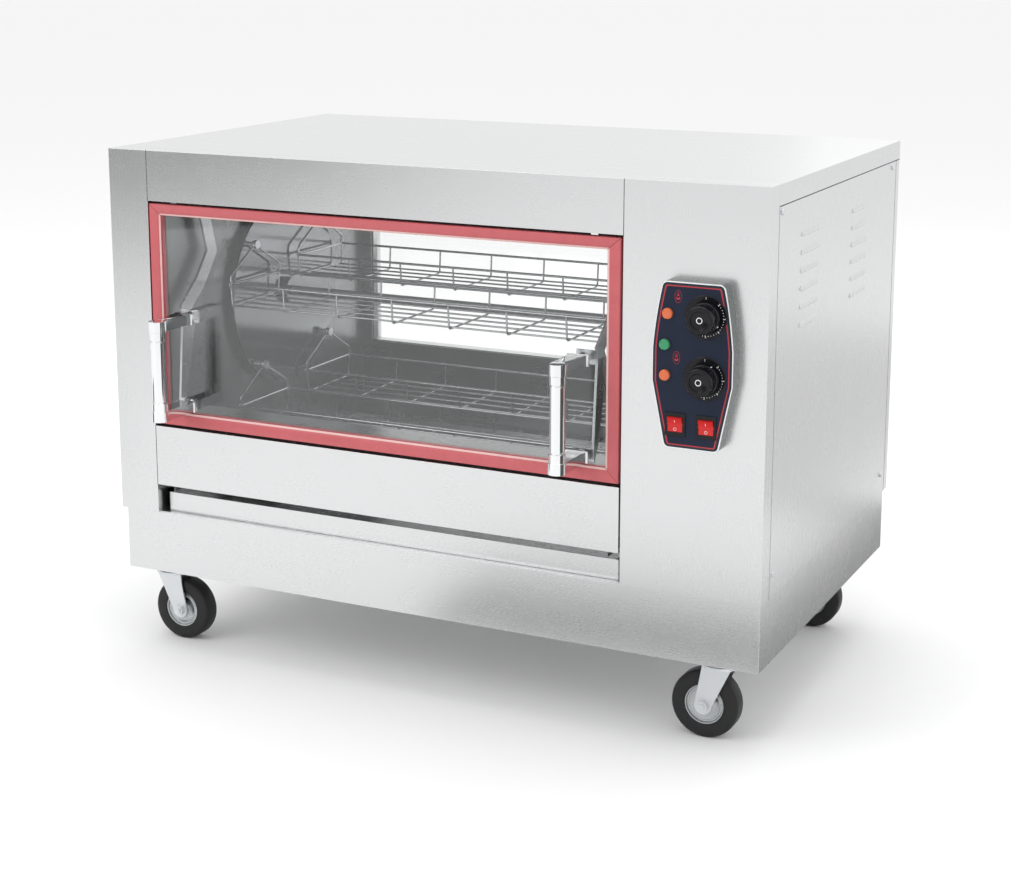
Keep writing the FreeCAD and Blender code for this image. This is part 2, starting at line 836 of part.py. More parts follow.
def hinge_arm(name, arm_x, bolt_x):
    # flat plate arm: bent neck from the hub, slanted leg to the lower bolt and a short tab to the upper bolt
    half_sheet = hinge_arm_thickness / 2
    half = hinge_arm_width / 2
    line = [(hinge_y + y, hinge_height + z) for y, z in neck]
    line += [(hinge_y + y, upper_bolt_height + z) for y, z in elbow]
    pieces = [rod((arm_x - half_sheet, hinge_y, hinge_height), (arm_x + half_sheet, hinge_y, hinge_height),
                  2 * hub_radius)]
    for number, (start, end) in enumerate(zip(line[:-1], line[1:])):
        y0, z0 = start
        y1, z1 = end
        length = math.hypot(y1 - y0, z1 - z0)
        uy, uz = (y1 - y0) / length, (z1 - z0) / length
        w0 = hub_radius if number == 0 else half
        corners = [(y0 - uz * w0, z0 + uy * w0), (y1 - uz * half, z1 + uy * half),
                   (y1 + uz * half, z1 - uy * half), (y0 + uz * w0, z0 - uy * w0)]
        pieces.append(prism([(arm_x - half_sheet, y, z) for y, z in corners], (hinge_arm_thickness, 0, 0)))
        if number < len(line) - 2:
            pieces.append(rod((arm_x - half_sheet, y1, z1), (arm_x + half_sheet, y1, z1), hinge_arm_width))
    tab_y = glass_back + upper_spacer
    low_y = glass_back + lower_spacer
    z_up = upper_bolt_height
    z_low = lower_bolt_height
    leg = [(tab_y, z_up + tab_half), (tab_y + leg_shoulder, z_up + half + leg_top),
           (tab_y + leg_width, z_up - half), (low_y + leg_foot, z_low + tab_half),
           (low_y + tab_sheet, z_low - tab_half), (low_y, z_low - tab_half),
           (low_y, z_low + tab_half), (tab_y, z_up - tab_half)]
    pieces.append(prism([(arm_x - half_sheet, y, z) for y, z in leg], (hinge_arm_thickness, 0, 0)))
    x0, x1 = sorted((arm_x, bolt_x + (half if bolt_x > arm_x else -half)))
    pieces.append(box(x0, x1, tab_y, tab_y + tab_sheet, z_up - tab_half, z_up + tab_half))
    pieces.append(box(x0, x1, low_y, low_y + tab_sheet, z_low - tab_half, z_low + tab_half))
    pin = rod((arm_x - half_sheet - 1, hinge_y, hinge_height),
              (arm_x + half_sheet + 1, hinge_y, hinge_height), hinge_pin + 2 * fit_gap)
    holes = [pin, rod((bolt_x, low_y, z_low), (bolt_x, low_y + tab_sheet, z_low), bolt),
             rod((bolt_x, tab_y, z_up), (bolt_x, tab_y + tab_sheet, z_up), bolt)]
    save(name, [joined(pieces).cut(Part.makeCompound(holes))])


def handle_arm(x, z):
    # cast arm from the foot on the glass to the eye that holds the bar, waisted between them
    half = handle_arm_width / 2
    tall = handle_arm_height / 2
    foot_front = glass_front - handle_foot_height
    foot = box(x - handle_foot / 2, x + handle_foot / 2, foot_front, glass_front, z - tall, z + tall)
    spread = handle_foot / 2 - handle_foot_edge
    straight = bar_y + handle_arm_straight
    flare = foot_front - handle_arm_flare
    right = [(half, bar_y), (half, straight), (half + 1, flare), (spread, foot_front)]
    outline = [(-px, py) for px, py in right] + list(reversed(right))
    arm = prism([(x + px, py, z - tall) for px, py in outline], (0, 0, handle_arm_height))
    eye = rod((x, bar_y, z - tall), (x, bar_y, z + tall), collar_diameter)
    bar = rod((x, bar_y, z - tall), (x, bar_y, z + tall), bar_core)
    thread = rod((x, thread_start, z), (x, glass_front, z), bolt)
    return joined([foot, arm, eye]).cut(bar).cut(thread)


def handles():
    solids = []
    tall = handle_arm_height / 2
    low, high = lower_bolt_height, upper_bolt_height
    for x in (handle_left_x, handle_right_x):
        core = rod((x, bar_y, low - tall), (x, bar_y, high + tall), bar_core)
        grip = rod((x, bar_y, low + tall), (x, bar_y, high - tall), bar_diameter)
        solids.append(joined([core, grip]))
        for z in (high, low):
            solids.append(handle_arm(x, z))
    save("door_handles", solids)


def door_bolts():
    solids = []
    for x, z in door_bolts_places():
        tab = glass_back + (upper_spacer if z == upper_bolt_height else lower_spacer)
        end = tab + tab_sheet + nut_height + bolt_end
        stud = rod((x, thread_start, z), (x, end, z), bolt)
        spacer = tube((x, glass_back, z), (x, tab, z), spacer_diameter, bolt)
        nut = tube((x, tab + tab_sheet, z), (x, tab + tab_sheet + nut_height, z), nut_diameter, bolt)
        solids.extend([stud, spacer, nut])
    save("door_bolts", solids)


# Rotor and baskets

def pin_places():
    places = []
    for quarter in range(4):
        angle = math.radians(45.0 + pin_phase + 90.0 * quarter)
        places.append((rotor_y + pin_circle * math.cos(angle), rotor_height + pin_circle * math.sin(angle)))
    return places


def rotor():
    shaft_start = chamber_left - shaft_end_left
    shaft_end = gearbox_left + shaft_in_gearbox
    save("rotor_shaft", [rod((shaft_start, rotor_y, rotor_height), (shaft_end, rotor_y, rotor_height),
                             shaft_diameter)])
    discs = []
    pins = []
    for disc_x, inward, hanger_x in ((disc_left_x, 1, basket_left_x), (disc_right_x, -1, basket_right_x)):
        outside = disc_x - inward * disc_thickness / 2
        inside = disc_x + inward * disc_thickness / 2
        hub_end = inside + inward * hub_length
        disc = rod((outside, rotor_y, rotor_height), (inside, rotor_y, rotor_height), disc_diameter)
        hub = rod((inside, rotor_y, rotor_height), (hub_end, rotor_y, rotor_height), hub_diameter)
        hole = rod((outside, rotor_y, rotor_height), (hub_end, rotor_y, rotor_height), shaft_diameter)
        bores = []
        for y, z in pin_places():
            end = hanger_x + inward * (frame_wire / 2 + running_gap)
            bores.append(rod((outside, y, z), (inside, y, z), pin_diameter))
            pin = rod((outside, y, z), (end, y, z), pin_diameter)
            knob = rod((end, y, z), (end + inward * pin_knob_length, y, z), pin_knob)
            head = rod((outside, y, z), (outside - inward * pin_head, y, z), pin_knob)
            pins.append(joined([pin, knob, head]))
        discs.append(joined([disc, hub]).cut(hole).cut(Part.makeCompound(bores)))
    save("rotor_discs", discs)
    save("basket_pins", pins)


def wire(points, diameter):
    pieces = [rod(start, end, diameter) for start, end in zip(points[:-1], points[1:])]
    pieces.extend(ball(point, diameter) for point in points[1:-1])
    return pieces


def basket():
    # welded wire basket that hangs from its two eyes; the pins' line is the X axis
    rail = basket_width / 2 - frame_wire / 2
    floor_half = basket_floor_width / 2
    x0, x1 = basket_left_x, basket_right_x
    bay = (x1 - x0) / basket_bays
    stations = [x0 + bay * number for number in range(basket_bays + 1)]
    rows = [-floor_half + 2 * floor_half * row / (basket_rows - 1) for row in range(basket_rows)]
    lift = basket_wire * floor_weave - basket_drop
    floor = [rod((x0, row, lift), (x1, row, lift), basket_wire) for row in rows]
    for x in stations:
        floor.append(rod((x, -floor_half, -basket_drop), (x, floor_half, -basket_drop), basket_wire))
    solids = [joined(floor)]
    for sign in (-1, 1):
        side_wires = [rod((x0, sign * rail, -rail_drop), (x1, sign * rail, -rail_drop), frame_wire)]
        for x in stations:
            top = (x, sign * rail, -rail_drop)
            foot = (x, sign * floor_half, -basket_drop)
            side_wires.append(rod(top, foot, basket_wire))
        grille = joined(side_wires)
        solids.append(grille.cut(solids[0]))
    bore = pin_diameter + 2 * fit_gap
    for x in (x0, x1):
        outline = [(x, -rail, -rail_drop), (x, -rail, -leg_drop), (x, 0, 0), (x, rail, -leg_drop),
                   (x, rail, -rail_drop)]
        bar = rod((x, -rail, -rail_drop), (x, rail, -rail_drop), frame_wire)
        eye = rod((x - frame_wire / 2, 0, 0), (x + frame_wire / 2, 0, 0), bore + 2 * eye_wall)
        hanger = joined(wire(outline, frame_wire) + [bar, eye])
        hanger = hanger.cut(rod((x - frame_wire, 0, 0), (x + frame_wire, 0, 0), bore))
        hanger = hanger.cut(Part.makeCompound(solids[:3]))
        solids.append(hanger)
    return solids


def baskets():
    solids = basket()
    for name, (y, z) in zip(("rear_upper", "front_upper", "front_lower", "rear_lower"), pin_places()):
        save("basket_" + name, [shifted(solid, 0, y, z) for solid in solids])


# Drip tray

def drip_tray():
    y0 = tray_front
    y1 = tray_back
    z0 = tray_bottom
    x0 = tray_left + tray_roll / 2
    x1 = tray_right - tray_roll / 2
    outer = box(x0, x1, y0, y1, z0, z0 + tray_height)
    hollow = box(x0 + tray_sheet, x1 - tray_sheet, y0 + tray_sheet, y1 - tray_sheet, z0 + tray_sheet,
                 z0 + tray_height)
    rolls = [rod((x, y0 + tray_roll / 2, z0), (x, y0 + tray_roll / 2, z0 + tray_height), tray_roll)
             for x in (x0, x1)]
    save("drip_tray", [joined([outer.cut(hollow)] + rolls)])


# Controls

def across(x, z, y0, y1, diameter):
    # round piece or hole square to the control plate
    return rod((x, y0, z), (x, y1, z), diameter)


def dials():
    return ((dial_x, upper_dial_height), (dial_x, lower_dial_height))


def switches():
    return ((left_switch_x, switch_height), (right_switch_x, switch_height))


def lamp_places():
    return [(box_centre_x + x, box_top - drop) for x, drop in lamp_offsets]


def switch_body_box(x, z, play, y0, y1):
    half_x = rocker_width / 2 + running_gap + sheet + play
    half_z = rocker_radius + running_gap + sheet + play
    return box(x - half_x, x + half_x, y0, y1, z - half_z, z + half_z)


def control_holes(y0, y1):
    holes = [across(x, z, y0, y1, spindle + 2 * spindle_play) for x, z in dials()]
    holes.extend(across(x, z, y0, y1, lamp_stem) for x, z in lamp_places())
    holes.extend(switch_body_box(x, z, switch_play, y0, y1) for x, z in switches())
    return Part.makeCompound(holes)


def control_box():
    shell_front = control_front + plate_sheet
    shell = control_outline(0.0, front, -(front - shell_front))
    hollow = control_outline(box_wall, front, -(front - shell_front - box_wall))
    lip = control_outline(0.0, shell_front, -plate_sheet)
    lip = lip.cut(control_outline(plate_inset, shell_front, -plate_sheet))
    bezel = joined([shell.cut(hollow), lip])
    save("control_bezel", [bezel.cut(control_holes(shell_front - 2, front + 1))])
    plate = control_outline(plate_inset, shell_front, -plate_sheet)
    save("control_plate", [plate.cut(control_holes(control_front - 1, shell_front + 1))])
    rings = []
    for x, z in dials():
        ring = across(x, z, control_front, plate_front, dial_ring)
        rings.append(ring.cut(across(x, z, control_front + 1, plate_front - 1, spindle + 2 * spindle_play)))
    save("dial_rings", rings)
    lamps = []
    lens_front = control_front - lamp_rise
    for x, z in lamp_places():
        dome = across(x, z, control_front, lens_front, lamp_diameter)
        outer = [e for e in dome.Edges if abs(e.BoundBox.YMax - lens_front) < 0.01]
        dome = dome.makeFillet(lamp_edge, outer)
        stem = across(x, z, control_front, control_front + lamp_depth, lamp_stem)
        lamps.append(joined([dome, stem]))
    save("indicator_lamps", lamps)


def thermostats():
    solids = []
    face = control_front + plate_sheet + box_wall
    for x, z in dials():
        body = box(x - thermostat_half_width, x + thermostat_half_width, face, face + thermostat_depth,
                   z - thermostat_half_height, z + thermostat_half_height)
        stem = across(x, z, face + 1, knob_seat - spindle_length, spindle)
        solids.append(joined([body, stem]))
    save("thermostats", solids)


def knob(name, z, turn):
    # round cap with a recessed face, a pointer rib and a bore for the spindle
    # turn is counted clockwise from 12 o'clock
    x = dial_x
    face = knob_seat - knob_length
    skirt_front = knob_seat - knob_skirt_height
    skirt = across(x, z, knob_seat, skirt_front, knob_skirt)
    cap = across(x, z, skirt_front, face, knob_diameter)
    rim = [e for e in cap.Edges if abs(e.BoundBox.YMin - face) < 0.01 and abs(e.BoundBox.YMax - face) < 0.01]
    cap = cap.makeFillet(knob_edge, rim)
    recess = across(x, z, face, face + knob_recess_depth, knob_recess)
    bore = across(x, z, knob_seat, knob_seat - spindle_length, spindle + 2 * fit_gap)
    body = joined([skirt, cap]).cut(recess).cut(bore)
    half = pointer_width / 2
    radius = knob_diameter / 2
    pointer = box(x - half, x + half, skirt_front - pointer_shift, knob_seat - pointer_shift,
                  z + radius - pointer_root, z + radius + pointer_rise)
    pointer = turned(pointer, (x, knob_seat, z), (0, 1, 0), turn)
    save(name, [joined([body, pointer])])


def switch_housings():
    solids = []
    for x, z in switches():
        y_flange = control_front - sheet
        depth_in = control_front + rocker_radius + running_gap
        flange = box(x - switch_frame_width / 2, x + switch_frame_width / 2, y_flange, control_front,
                     z - switch_frame_height / 2, z + switch_frame_height / 2)
        body = switch_body_box(x, z, 0.0, control_front, depth_in + sheet)
        half_x = rocker_width / 2 + running_gap
        half_z = rocker_radius + running_gap
        cavity = box(x - half_x, x + half_x, y_flange, depth_in, z - half_z, z + half_z)
        stub = rod((x - half_x - sheet, control_front, z), (x + half_x + sheet, control_front, z),
                   rocker_stub + 2 * fit_gap)
        terminals = []
        back = depth_in + sheet
        for sign in (-1, 1):
            z0 = z + sign * terminal_offset - terminal_width / 2
            terminals.append(box(x - terminal_sheet / 2, x + terminal_sheet / 2, back, back + terminal_length,
                                 z0, z0 + terminal_width))
        solids.append(joined([flange, body] + terminals).cut(cavity).cut(stub))
    save("switch_housings", solids)


def rocker(name, x, z):
    # rolling barrel with two flats that meet in a shallow valley; the lower flat is pressed in at rest
    y = control_front
    half = rocker_width / 2
    barrel = rod((x - half, y, z), (x + half, y, z), 2 * rocker_radius)
    valley = y - rocker_valley
    slope = math.tan(math.radians(rocker_tilt))
    reach = rocker_radius + 2.0
    front_cut = [(x - half - 1, valley, z - reach), (x - half - 1, valley, z),
                 (x - half - 1, valley - reach * slope, z + reach), (x - half - 1, y - 3 * reach, z + reach),
                 (x - half - 1, y - 3 * reach, z - reach)]
    body = barrel.cut(prism(front_cut, (rocker_width + 2, 0, 0)))
    back = box(x - half - 1, x + half + 1, y + rocker_back, y + 2 * reach, z - reach, z + reach)
    body = body.cut(back)
    stub_end = half + running_gap + sheet - 0.2
    stub = rod((x - stub_end, y, z), (x + stub_end, y, z), rocker_stub)
    save(name, [joined([body, stub])])


# Casters

def caster_places():
    return (
        ("front_left", left_caster_x, front_caster_y, 1),
        ("front_right", right_caster_x, front_caster_y, -1),
        ("rear_left", left_caster_x, rear_caster_y, 1),
        ("rear_right", right_caster_x, rear_caster_y, -1),
    )


def caster_plates():
    solids = []
    under = plinth_bottom - caster_plate
    head_top = crown_bottom - running_gap
    for _, x, y, _ in caster_places():
        plate = box(x - caster_plate_half_width, x + caster_plate_half_width,
                    y - caster_plate_half_depth, y + caster_plate_half_depth, under, plinth_bottom)
        race = rod((x, y, race_bottom), (x, y, under), race_diameter)
        pin = rod((x, y, head_top), (x, y, race_bottom), kingpin)
        head = rod((x, y, head_top - kingpin_head_height), (x, y, head_top), kingpin + 2 * kingpin_head_rim)
        solids.append(joined([plate, race, pin, head]))
        for bolt_x in (x - caster_bolt_x, x + caster_bolt_x):
            for bolt_y in (y - caster_bolt_y, y + caster_bolt_y):
                solids.append(rod((bolt_x, bolt_y, under - caster_bolt_height), (bolt_x, bolt_y, under),
                                  caster_bolt_head))
    save("caster_plates", solids)


def fork(name, x, y, way):
    axle_x = x + way * caster_trail
    centre = wheel_diameter / 2
    half_wheel = wheel_width / 2
    hub_half = half_wheel + boss_rise
    inner = hub_half + running_gap
    outer = inner + fork_sheet
    crown_top = race_bottom - running_gap
    crown = rod((x, y, crown_bottom), (x, y, crown_top), race_diameter + 2 * crown_rim)
    legs = []
    for sign in (-1, 1):
        y0, y1 = sorted((y + sign * inner, y + sign * outer))
        top = way * fork_top_half
        outline = [(x - top, y0, crown_top), (axle_x - way * fork_eye, y0, centre),
                   (axle_x + way * fork_eye, y0, centre),
                   (x + top + way * crown_rim, y0, crown_bottom - fork_heel), (x + top, y0, crown_top)]
        leg = prism(outline, (0, fork_sheet, 0))
        eye = rod((axle_x, y0, centre), (axle_x, y1, centre), 2 * fork_eye)
        legs.append(joined([leg, eye]))
    bridge = box(x - fork_top_half, x + fork_top_half, y - outer, y + outer, crown_bottom, crown_top)
    body = joined([crown, bridge] + legs)
    axle_rod = rod((axle_x, y - outer - axle_end, centre), (axle_x, y + outer + axle_end, centre), axle)
    body = body.cut(axle_rod)
    body = body.cut(rod((x, y, crown_bottom - 1), (x, y, crown_top + 1), kingpin + 2 * fit_gap))
    nut_end = outer + axle_nut_height
    nuts = [rod((axle_x, y + sign * outer, centre), (axle_x, y + sign * nut_end, centre), axle_nut)
            for sign in (-1, 1)]
    save(name + "_fork", [body, joined([axle_rod] + nuts)])
    web = half_wheel - hub_inset
    hub = rod((axle_x, y - web, centre), (axle_x, y + web, centre), wheel_hub)
    boss = rod((axle_x, y - hub_half, centre), (axle_x, y + hub_half, centre), axle + 2 * boss_wall)
    bore = rod((axle_x, y - hub_half, centre), (axle_x, y + hub_half, centre), axle + 2 * fit_gap)
    hub = joined([hub, boss]).cut(bore)
    tyre = rod((axle_x, y - half_wheel, centre), (axle_x, y + half_wheel, centre), wheel_diameter)
    shoulder = [e for e in tyre.Edges if e.BoundBox.YLength < 0.01]
    tyre = tyre.makeFillet(tyre_edge, shoulder)
    tyre = tyre.cut(rod((axle_x, y - wheel_width, centre), (axle_x, y + wheel_width, centre), wheel_hub))
    save(name + "_wheel", [hub, tyre])


# Screws and cable gland

def screws():
    solids = []
    for sign in (-1, 1):
        for y in (side_seam + screw_front_margin, side_panel_rear - screw_rear_margin):
            for z in (upper_bottom + screw_foot_margin, height - top_flange - panel_gap - screw_top_margin):
                head = rod((sign * side, y, z), (sign * (side + screw_rise), y, z), screw_head)
                rim = [e for e in head.Edges if abs(e.BoundBox.XMax - e.BoundBox.XMin) < 0.01
                       and abs(abs(e.BoundBox.XMax) - side - screw_rise) < 0.01]
                solids.append(head.makeFillet(screw_edge, rim))
    save("panel_screws", solids)


def cable_gland():
    face = rear - sheet
    inside = face - gland_thread
    outside = rear + gland_length
    flange = rod((gland_x, face, gland_height), (gland_x, face + gland_flange_height, gland_height),
                 gland_diameter + 2 * gland_flange_rim)
    body = rod((gland_x, face, gland_height), (gland_x, outside, gland_height), gland_diameter)
    thread = rod((gland_x, inside, gland_height), (gland_x, face, gland_height),
                 gland_diameter - 2 * gland_thread_wall)
    hole = rod((gland_x, inside, gland_height), (gland_x, outside, gland_height),
               gland_diameter - 2 * gland_wall)
    save("cable_gland", [joined([flange, body, thread]).cut(hole)])


def build():
    os.makedirs("parts", exist_ok=True)
    plinth()
    front_frame()
    covers()
    rear_wall()
    chamber()
    rear_window()
    insulation()
    heaters()
    lamp()
    drive()
    hinge_brackets()
    door()
    hinge_arm("hinge_arm_left", left_arm_x, handle_left_x)
    hinge_arm("hinge_arm_right", right_arm_x, handle_right_x)
    handles()
    door_bolts()
    rotor()
    baskets()
    drip_tray()
    control_box()
    thermostats()
    knob("upper_knob", upper_dial_height, upper_knob_turn)
    knob("lower_knob", lower_dial_height, lower_knob_turn)
    switch_housings()
    rocker("left_rocker", left_switch_x, switch_height)
    rocker("right_rocker", right_switch_x, switch_height)
    caster_plates()
    for name, x, y, way in caster_places():
        fork(name, x, y, way)
    screws()
    cable_gland()


build()
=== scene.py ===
import json
import math

import bmesh
import bpy
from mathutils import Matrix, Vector


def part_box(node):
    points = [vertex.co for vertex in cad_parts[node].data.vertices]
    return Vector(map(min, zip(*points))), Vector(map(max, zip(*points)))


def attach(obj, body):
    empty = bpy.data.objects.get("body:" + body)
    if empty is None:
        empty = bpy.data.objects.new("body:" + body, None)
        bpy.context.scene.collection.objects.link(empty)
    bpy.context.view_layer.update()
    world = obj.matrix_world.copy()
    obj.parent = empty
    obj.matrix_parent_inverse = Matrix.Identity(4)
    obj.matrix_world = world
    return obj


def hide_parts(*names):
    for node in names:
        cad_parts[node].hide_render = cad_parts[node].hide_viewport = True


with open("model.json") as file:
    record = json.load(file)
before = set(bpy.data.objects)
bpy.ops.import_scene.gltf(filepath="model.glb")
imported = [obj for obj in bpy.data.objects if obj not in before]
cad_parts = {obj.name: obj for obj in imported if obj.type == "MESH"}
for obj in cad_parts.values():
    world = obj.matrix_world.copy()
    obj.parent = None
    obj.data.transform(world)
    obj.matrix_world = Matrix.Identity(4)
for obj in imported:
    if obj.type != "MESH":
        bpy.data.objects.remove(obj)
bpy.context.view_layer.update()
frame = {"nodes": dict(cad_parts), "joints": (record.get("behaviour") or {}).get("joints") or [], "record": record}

nodes = frame["nodes"]
joints = {joint["name"]: joint for joint in frame["joints"]}
mm = 0.001
weldGap = 0.00001


# Shader kit

class Wire:
    # one shader socket; sums and products of it add Math nodes
    def __init__(self, tree, socket):
        self.tree = tree
        self.socket = socket

    def step(self, operation, first, second):
        node = self.tree.nodes.new("ShaderNodeMath")
        node.operation = operation
        for place, value in enumerate((first, second)):
            if isinstance(value, Wire):
                self.tree.links.new(value.socket, node.inputs[place])
            else:
                node.inputs[place].default_value = value
        return Wire(self.tree, node.outputs[0])

    def __add__(self, other):
        return self.step("ADD", self, other)

    def __radd__(self, other):
        return self.step("ADD", other, self)

    def __mul__(self, other):
        return self.step("MULTIPLY", self, other)


class Finish:
    # one material built from nodes round a Principled shader
    def __init__(self, name, **sockets):
        self.material = bpy.data.materials.new(name)
        self.material.use_nodes = True
        self.tree = self.material.node_tree
        self.tree.nodes.clear()
        self.shader = self.tree.nodes.new("ShaderNodeBsdfPrincipled")
        output = self.tree.nodes.new("ShaderNodeOutputMaterial")
        self.tree.links.new(self.shader.outputs[0], output.inputs[0])
        for socket, value in sockets.items():
            self.set(socket.replace("_", " "), value)

    def plug(self, socket, value):
        if isinstance(value, Wire):
            self.tree.links.new(value.socket, socket)
        elif hasattr(value, "__len__") and len(socket.default_value) == 4 and len(value) == 3:
            socket.default_value = (*value, 1.0)
        else:
            socket.default_value = value

    def set(self, name, value):
        self.plug(self.shader.inputs[name], value)

    def add(self, kind, inputs, output=0):
        node = self.tree.nodes.new("ShaderNode" + kind)
        for name, value in inputs.items():
            self.plug(node.inputs[name], value)
        return Wire(self.tree, node.outputs[output])

    def place(self, scale=(1, 1, 1)):
        # point on the piece in its own coordinates
        point = self.add("TexCoord", {}, output=3)
        return self.add("Mapping", {"Vector": point, "Scale": scale})

    def noise(self, scale, detail, stretch=(1, 1, 1), rough=0.5):
        return self.add("TexNoise", {"Vector": self.place(stretch), "Scale": scale, "Detail": detail,
                                     "Roughness": rough})

    def between(self, low, high, mask):
        return self.add("MapRange", {"Value": mask, "To Min": low, "To Max": high})

    def blend(self, first, second, mask):
        node = self.tree.nodes.new("ShaderNodeMix")
        node.data_type = "RGBA"
        self.plug(node.inputs[0], mask)
        self.plug(node.inputs[6], first)
        self.plug(node.inputs[7], second)
        return Wire(self.tree, node.outputs[2])

    def bump(self, height, depth, strength):
        self.set("Normal", self.add("Bump", {"Height": height, "Distance": depth, "Strength": strength}))


def brushedSteel(name, along, tone, shine):
    # satin sheet: fine lines along one axis and faint cloudy smudges
    grainAcross, grainAlong = 900.0, 6.0
    stretch = [grainAcross] * 3
    stretch["xyz".index(along)] = grainAlong
    finish = Finish(name, Metallic=1.0)
    grain = finish.noise(1.0, 2.0, stretch)
    clouds = finish.noise(3.2, 4.0)
    smudge = finish.noise(14.0, 6.0, rough=0.65)
    dark = [channel * 0.96 for channel in tone]
    finish.set("Base Color", finish.blend(dark, tone, finish.between(0.2, 1.0, grain * 0.5 + clouds * 0.5)))
    finish.set("Roughness", shine - 0.05 + grain * 0.03 + smudge * 0.05 + clouds * 0.02)
    finish.bump(grain, 0.00001, 0.08)
    return finish.material


def polishedMetal(name, tone, shine, wave=0.15):
    # mirror-like metal; wave is the strength of its fine unevenness
    finish = Finish(name, Metallic=1.0)
    smudge = finish.noise(60.0, 5.0, rough=0.6)
    wide = finish.noise(9.0, 3.0)
    dark = [channel * 0.9 for channel in tone]
    finish.set("Base Color", finish.blend(dark, tone, wide))
    finish.set("Roughness", shine + smudge * shine * 0.8)
    finish.bump(smudge, 0.00003, wave)
    return finish.material


def mouldedPlastic(name, tone, shine, coat=0.0, gleam=0.5):
    finish = Finish(name, Coat_Weight=coat, Specular_IOR_Level=gleam)
    speck = finish.noise(1400.0, 2.0)
    wide = finish.noise(25.0, 4.0)
    light = [min(1.0, channel * 1.25 + 0.004) for channel in tone]
    finish.set("Base Color", finish.blend(tone, light, wide))
    finish.set("Roughness", shine - 0.05 + wide * 0.1)
    finish.bump(speck, 0.00004, 0.4)
    return finish.material


def rubberFinish(name, tone, shine):
    finish = Finish(name, Specular_IOR_Level=0.4)
    dust = finish.noise(45.0, 6.0, rough=0.7)
    fine = finish.noise(900.0, 2.0)
    light = [min(1.0, channel * 1.35 + 0.006) for channel in tone]
    finish.set("Base Color", finish.blend(tone, light, dust))
    finish.set("Roughness", shine - 0.06 + dust * 0.14)
    finish.bump(fine, 0.00006, 0.4)
    return finish.material


def paneGlass(name, tint, clear):
    # clear pane: nearly transparent face on, mirror-like at a glancing angle
    finish = Finish(name, Base_Color=tint, Metallic=0.9)
    edge = finish.add("LayerWeight", {"Blend": 0.28}, output=1)
    haze = finish.noise(7.0, 5.0, rough=0.6)
    finish.set("Alpha", clear + edge * 0.24 + haze * 0.015)
    finish.set("Roughness", 0.02 + haze * 0.03)
    return finish.material


def lensFinish(name, tone):
    finish = Finish(name, Roughness=0.3, Coat_Weight=0.3, Emission_Strength=0.08)
    cell = finish.add("TexVoronoi", {"Vector": finish.place(), "Scale": 700.0})
    light = [min(1.0, channel * 1.3 + 0.03) for channel in tone]
    finish.set("Base Color", finish.blend(light, tone, cell))
    finish.set("Emission Color", finish.blend(light, tone, cell))
    finish.bump(cell, 0.0002, 0.3)
    return finish.material


sheetTone = (0.70, 0.705, 0.71)
steelPanel = brushedSteel("steelPanel", "x", sheetTone, 0.27)
steelUpright = brushedSteel("steelUpright", "z", sheetTone, 0.27)
# chamber liner: the same steel as the panels, darkened as painted shade for the dim inside of the chamber
shadedSteelLiner = brushedSteel("shadedSteelLiner", "x", (0.27, 0.28, 0.28), 0.28)
bezelSteel = polishedMetal("bezelSteel", (0.82, 0.83, 0.84), 0.18, 0.03)
# darker copy of the bezel steel for its flanks: painted shade
bezelFlankShade = polishedMetal("bezelFlankShade", (0.20, 0.215, 0.21), 0.20, 0.03)
steelDisc = brushedSteel("steelDisc", "z", (0.27, 0.28, 0.285), 0.12)
chrome = polishedMetal("chrome", (0.84, 0.85, 0.86), 0.04, 0.01)
brightWire = polishedMetal("brightWire", (0.48, 0.50, 0.51), 0.16)
armSteel = polishedMetal("armSteel", (0.58, 0.60, 0.61), 0.18)
zinc = polishedMetal("zinc", (0.72, 0.74, 0.76), 0.28)
heaterSteel = polishedMetal("heaterSteel", (0.22, 0.23, 0.24), 0.42)
bronze = polishedMetal("bronze", (0.62, 0.42, 0.2), 0.35)
redSeal = rubberFinish("redSeal", (0.44, 0.095, 0.105), 0.34)
sealLip = rubberFinish("sealLip", (0.62, 0.40, 0.38), 0.35)
wheelHub = polishedMetal("wheelHub", (0.48, 0.50, 0.51), 0.2)
# near-black strips in the seams between sheets: painted shade for the dark of the gaps
seamShade = rubberFinish("seamShade", (0.045, 0.045, 0.047), 0.7)
# black rubber of the rear window seal; the door gap strips also use it as painted shade
blackSealAndGapShade = rubberFinish("blackSealAndGapShade", (0.022, 0.022, 0.024), 0.6)
tyreRubber = rubberFinish("tyreRubber", (0.005, 0.005, 0.006), 0.5)
clearGlass = paneGlass("clearGlass", (0.90, 0.94, 0.94), 0.03)
navyPlate = mouldedPlastic("navyPlate", (0.009, 0.014, 0.032), 0.4, gleam=0.18)
glossBlack = mouldedPlastic("glossBlack", (0.004, 0.004, 0.006), 0.2, coat=0.08, gleam=0.22)
mattBlack = mouldedPlastic("mattBlack", (0.018, 0.018, 0.02), 0.5)
redPlastic = mouldedPlastic("redPlastic", (0.50, 0.010, 0.010), 0.25, coat=0.15, gleam=0.3)
whitePrint = mouldedPlastic("whitePrint", (0.82, 0.83, 0.84), 0.45)
redPrint = mouldedPlastic("redPrint", (0.42, 0.018, 0.03), 0.4)
motorPaint = mouldedPlastic("motorPaint", (0.03, 0.032, 0.035), 0.45)
woolMat = rubberFinish("woolMat", (0.6, 0.55, 0.35), 0.95)
orangeLens = lensFinish("orangeLens", (0.52, 0.095, 0.018))
greenLens = lensFinish("greenLens", (0.005, 0.20, 0.075))
print("materials made")


# Mesh kit

def deselectAll():
    if bpy.context.object and bpy.context.object.mode != "OBJECT":
        bpy.ops.object.mode_set(mode="OBJECT")
    bpy.ops.object.select_all(action="DESELECT")


def activate(piece):
    deselectAll()
    piece.select_set(True)
    bpy.context.view_layer.objects.active = piece


